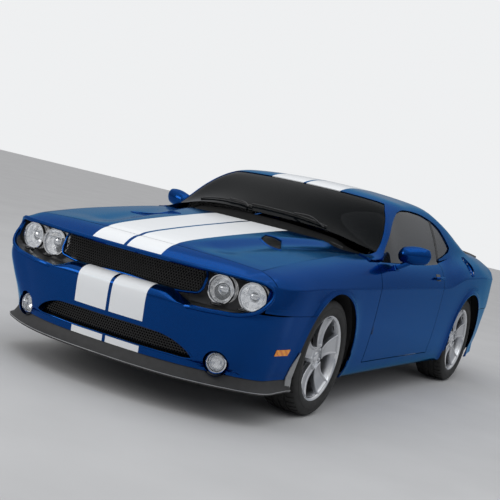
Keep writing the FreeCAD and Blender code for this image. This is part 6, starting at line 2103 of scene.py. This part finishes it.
def make_finishes():
    """Every finish by its plain name."""
    m = {
        "paint": blue_paint("striped_blue_paint", True),
        "plain_blue": blue_paint("blue_paint", False),
        "trim": black_trim("moulded_black", 0.016, 0.45, 0.62, 900),
        "gloss": black_trim("gloss_black", 0.008, 0.08, 0.16, 200),
        "chin": black_trim("coarse_black", 0.02, 0.55, 0.7, 500),
        "charcoal": black_trim("charcoal", 0.03, 0.3, 0.42, 300),
        "glass": tinted_glass("dark_glass", (0.002, 0.003, 0.004), 0.92, 0.0, 0.035),
        "side_glass": tinted_glass("side_glass", (0.01, 0.011, 0.012), 0.88, 0.0, 0.55),
        "clear": tinted_glass("clear_lens", (0.75, 0.78, 0.8), 0.16, 1.0),
        "red": lens("red_lens", (0.16, 0.001, 0.002), (0.34, 0.002, 0.004), 1.0),
        "amber": lens("amber_lens", (0.75, 0.2, 0.01), (0.95, 0.36, 0.02), 1.0),
        "chrome": bright_metal("chrome", (0.8, 0.81, 0.83), 0.03, 0.1),
        "alloy": bright_metal("brushed_alloy", (0.6, 0.61, 0.63), 0.26, 0.34, (1, 1, 1), 160),
        "lip": bright_metal("polished_lip", (0.72, 0.73, 0.75), 0.08, 0.18),
        "disc": bright_metal("brake_disc_steel", (0.34, 0.34, 0.35), 0.25, 0.42, (1, 30, 30), 20),
        "chassis": rough_metal("chassis_black", (0.015, 0.015, 0.016), (0.04, 0.04, 0.042), 0.5, 0.75, 300,
                               0.2),
        "iron": rough_metal("cast_iron", (0.07, 0.07, 0.072), (0.15, 0.15, 0.155), 0.5, 0.75),
        "pipe": rough_metal("exhaust_steel", (0.28, 0.27, 0.26), (0.48, 0.47, 0.46), 0.22, 0.45, 120, 1.0),
    }
    f = Finish("mirror_glass", (0.85, 0.87, 0.88), 0.02, 1.0)
    m["mirror"] = f.tones((0.8, 0.82, 0.84), (0.86, 0.88, 0.9), 6).made
    f = Finish("blank_plate", (0.62, 0.62, 0.6), 0.4).tones((0.56, 0.56, 0.55), (0.64, 0.64, 0.62), 40)
    m["plate"] = f.bump(f.noise(120, 2.0), 0.1, 0.0004).made
    # Lamp reflector that glows by emission: a painted reflection of chrome, with lighter Voronoi cells as
    # painted glints on its facets.
    f = Finish("faceted_reflector_painted_glints", (0.86, 0.88, 0.9), 0.12, 0.7, Coat_Weight=1.0, Emission_Strength=0.34)
    glint_cells = f.node("TexVoronoi", inputs={"Vector": f.place, "Scale": 55.0}, output="Color")
    glint_share = f.node("SeparateXYZ", inputs={0: glint_cells})
    f.give("Emission Color", f.mix(glint_share, (0.16, 0.17, 0.19, 1), (1.0, 1.0, 1.0, 1)))
    m["painted_glint_reflector"] = f.tones((0.62, 0.64, 0.66), (0.92, 0.93, 0.95), 90).made
    f = Finish("satin_edge", (0.3, 0.305, 0.31), 0.34, 0.3).tones((0.26, 0.265, 0.27), (0.36, 0.365, 0.37),
                                                                  12)
    m["edge"] = f.vary(0.28, 0.42, 30).made
    f = Finish("tyre_rubber", (0.012, 0.012, 0.012)).vary(0.62, 0.82, 30)
    f.tones((0.008, 0.008, 0.008), (0.02, 0.02, 0.019), 22)
    m["rubber"] = f.bump(f.noise(600, 4.0), 0.3, 0.0006).made
    f = Finish("black_leather", (0.018, 0.018, 0.019)).vary(0.42, 0.58, 18)
    f.tones((0.01, 0.01, 0.011), (0.026, 0.026, 0.028), 9)
    m["leather"] = f.bump(f.cells(420.0), 0.5, 0.0008).made
    f = Finish("matt_black", (0.006, 0.006, 0.006), Specular_IOR_Level=0.12).vary(0.7, 0.9, 40)
    m["matt"] = f.tones((0.004, 0.004, 0.004), (0.01, 0.01, 0.01), 60).made
    m["grit"] = black_trim("speaker_grille", 0.014, 0.5, 0.7, 1600)
    f = Finish("head_lining", (0.1, 0.1, 0.1), 0.9).tones((0.08, 0.08, 0.08), (0.12, 0.12, 0.12), 200)
    m["lining"] = f.bump(f.noise(1200, 2.0), 0.4, 0.0008).made
    f = Finish("stitching", (0.3, 0.31, 0.33), 0.8)
    m["stitch"] = f.tones((0.2, 0.2, 0.21), (0.4, 0.4, 0.42), 300).made
    f = Finish("carpet", (0.012, 0.012, 0.013), 0.95).tones((0.006, 0.006, 0.006), (0.022, 0.022, 0.024), 240)
    m["carpet"] = f.bump(f.noise(900, 2.0), 0.9, 0.003).made
    return m


FINISHES = make_finishes()


# ---------------------------------------------------------------- making the car
def set_stage():
    """Pale floor, soft studio light and the camera."""
    world = bpy.data.worlds.new("studio")
    bpy.context.scene.world = world
    world.use_nodes = True
    tree = world.node_tree
    back = tree.nodes["Background"]
    back.inputs["Strength"].default_value = 0.85
    way = tree.nodes.new("ShaderNodeTexCoord")
    parts = tree.nodes.new("ShaderNodeSeparateXYZ")
    height = tree.nodes.new("ShaderNodeMapRange")
    sky = tree.nodes.new("ShaderNodeMix")
    sky.data_type = "RGBA"
    height.inputs["From Min"].default_value, height.inputs["From Max"].default_value = 0.05, 0.75
    sky.inputs[6].default_value, sky.inputs[7].default_value = (0.34, 0.36, 0.4, 1), (1.0, 1.0, 1.0, 1)
    tree.links.new(way.outputs["Generated"], parts.inputs[0])
    tree.links.new(parts.outputs["Z"], height.inputs["Value"])
    tree.links.new(height.outputs[0], sky.inputs[0])
    tree.links.new(sky.outputs[2], back.inputs["Color"])
    view = tree.nodes.new("ShaderNodeBackground")
    view.inputs["Color"].default_value = (0.86, 0.87, 0.88, 1)
    path = tree.nodes.new("ShaderNodeLightPath")
    blend = tree.nodes.new("ShaderNodeMixShader")
    tree.links.new(path.outputs["Is Camera Ray"], blend.inputs[0])
    tree.links.new(back.outputs[0], blend.inputs[1])
    tree.links.new(view.outputs[0], blend.inputs[2])
    tree.links.new(blend.outputs[0], tree.nodes["World Output"].inputs[0])

    bpy.ops.mesh.primitive_plane_add(size=60, location=(0, 0, -0.001))
    floor = bpy.context.active_object
    floor.name = "floor"
    f = Finish("pale_floor", (0.52, 0.52, 0.525), 0.85)
    f.tones((0.5, 0.5, 0.505), (0.54, 0.54, 0.545), 1.5)
    floor.data.materials.append(f.made)

    for name, place, size, power, tint in (("sky_panel", (1.0, -1.5, 7.0), (9.0, 9.0), 170, (0.9, 0.95, 1.0)),
                                           ("front_panel", (-6.0, -7.5, 3.6), (5.0, 3.0), 140,
                                            (1.0, 0.98, 0.95))):
        light = bpy.data.lights.new(name, "AREA")
        light.shape, light.size, light.size_y = "RECTANGLE", *size
        light.energy, light.color = power, tint
        lamp = bpy.data.objects.new(name, light)
        lamp.location = place
        lamp.rotation_euler = (Vector((0, 0, 0.6)) - Vector(place)).to_track_quat("-Z", "Y").to_euler()
        bpy.context.scene.collection.objects.link(lamp)

    camera = bpy.data.objects.new("camera", bpy.data.cameras.new("camera"))
    camera.data.lens, camera.data.sensor_width = 74.75, 36.0
    az, el, roll = radians(26.81), radians(4.00), radians(12.66)
    back_way = Vector((sin(az) * cos(el), -cos(az) * cos(el), sin(el)))
    right = (-back_way).cross(Vector((0, 0, 1))).normalized()
    up = right.cross(-back_way)
    turned_right = right * cos(roll) + up * sin(roll)
    turned_up = up * cos(roll) - right * sin(roll)
    spin = Matrix((turned_right, turned_up, back_way)).transposed()
    camera.matrix_world = Matrix.Translation(Vector((3.226, -5.834 + FRONT_Y, 1.35))) @ spin.to_4x4()
    bpy.context.scene.collection.objects.link(camera)
    bpy.context.scene.camera = camera
    bpy.context.scene.view_settings.view_transform = "Standard"


def carry_over():
    """Better finishes for the pieces whose plain shape is already right."""
    kept = {
        "chassis": ("firewall", "front_subframe", "rear_axle", "door_hinges", "lid_hinges"),
        "carpet": ("floor_pan", "rear_bulkhead"),
        "iron": ("engine", "rear_knuckles", "left_front_knuckle", "right_front_knuckle", "drive_shaft"),
        "pipe": ("exhaust",), "trim": ("wheel_arch_liners", "dashboard"), "leather": ("steering_wheel",),
    }
    for finish, nodes in kept.items():
        for node in nodes:
            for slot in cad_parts[node].material_slots:
                slot.material = FINISHES[finish]


def build():
    """Sets the stage and makes every piece."""
    set_stage()
    for make in (make_fenders, make_doors, make_quarters, make_fuel_door, make_hood, make_vents,
                 make_trunk_lid, make_fascia, make_recess, make_grilles, make_lamps, make_small_lamps,
                 make_chin, make_tail, make_bumper, make_sills, make_roof, make_glass):
        make()
    for side, name in SIDES:
        for end in ("front", "rear"):
            make_wheel(side, name, end)
    for make in (make_mirrors, make_handles, make_rear, make_spoiler, make_cowl, make_tail_trim, make_liners,
                 make_seats, make_door_trim, make_console, make_dashboard, make_engine_bay):
        make()
    carry_over()


build()
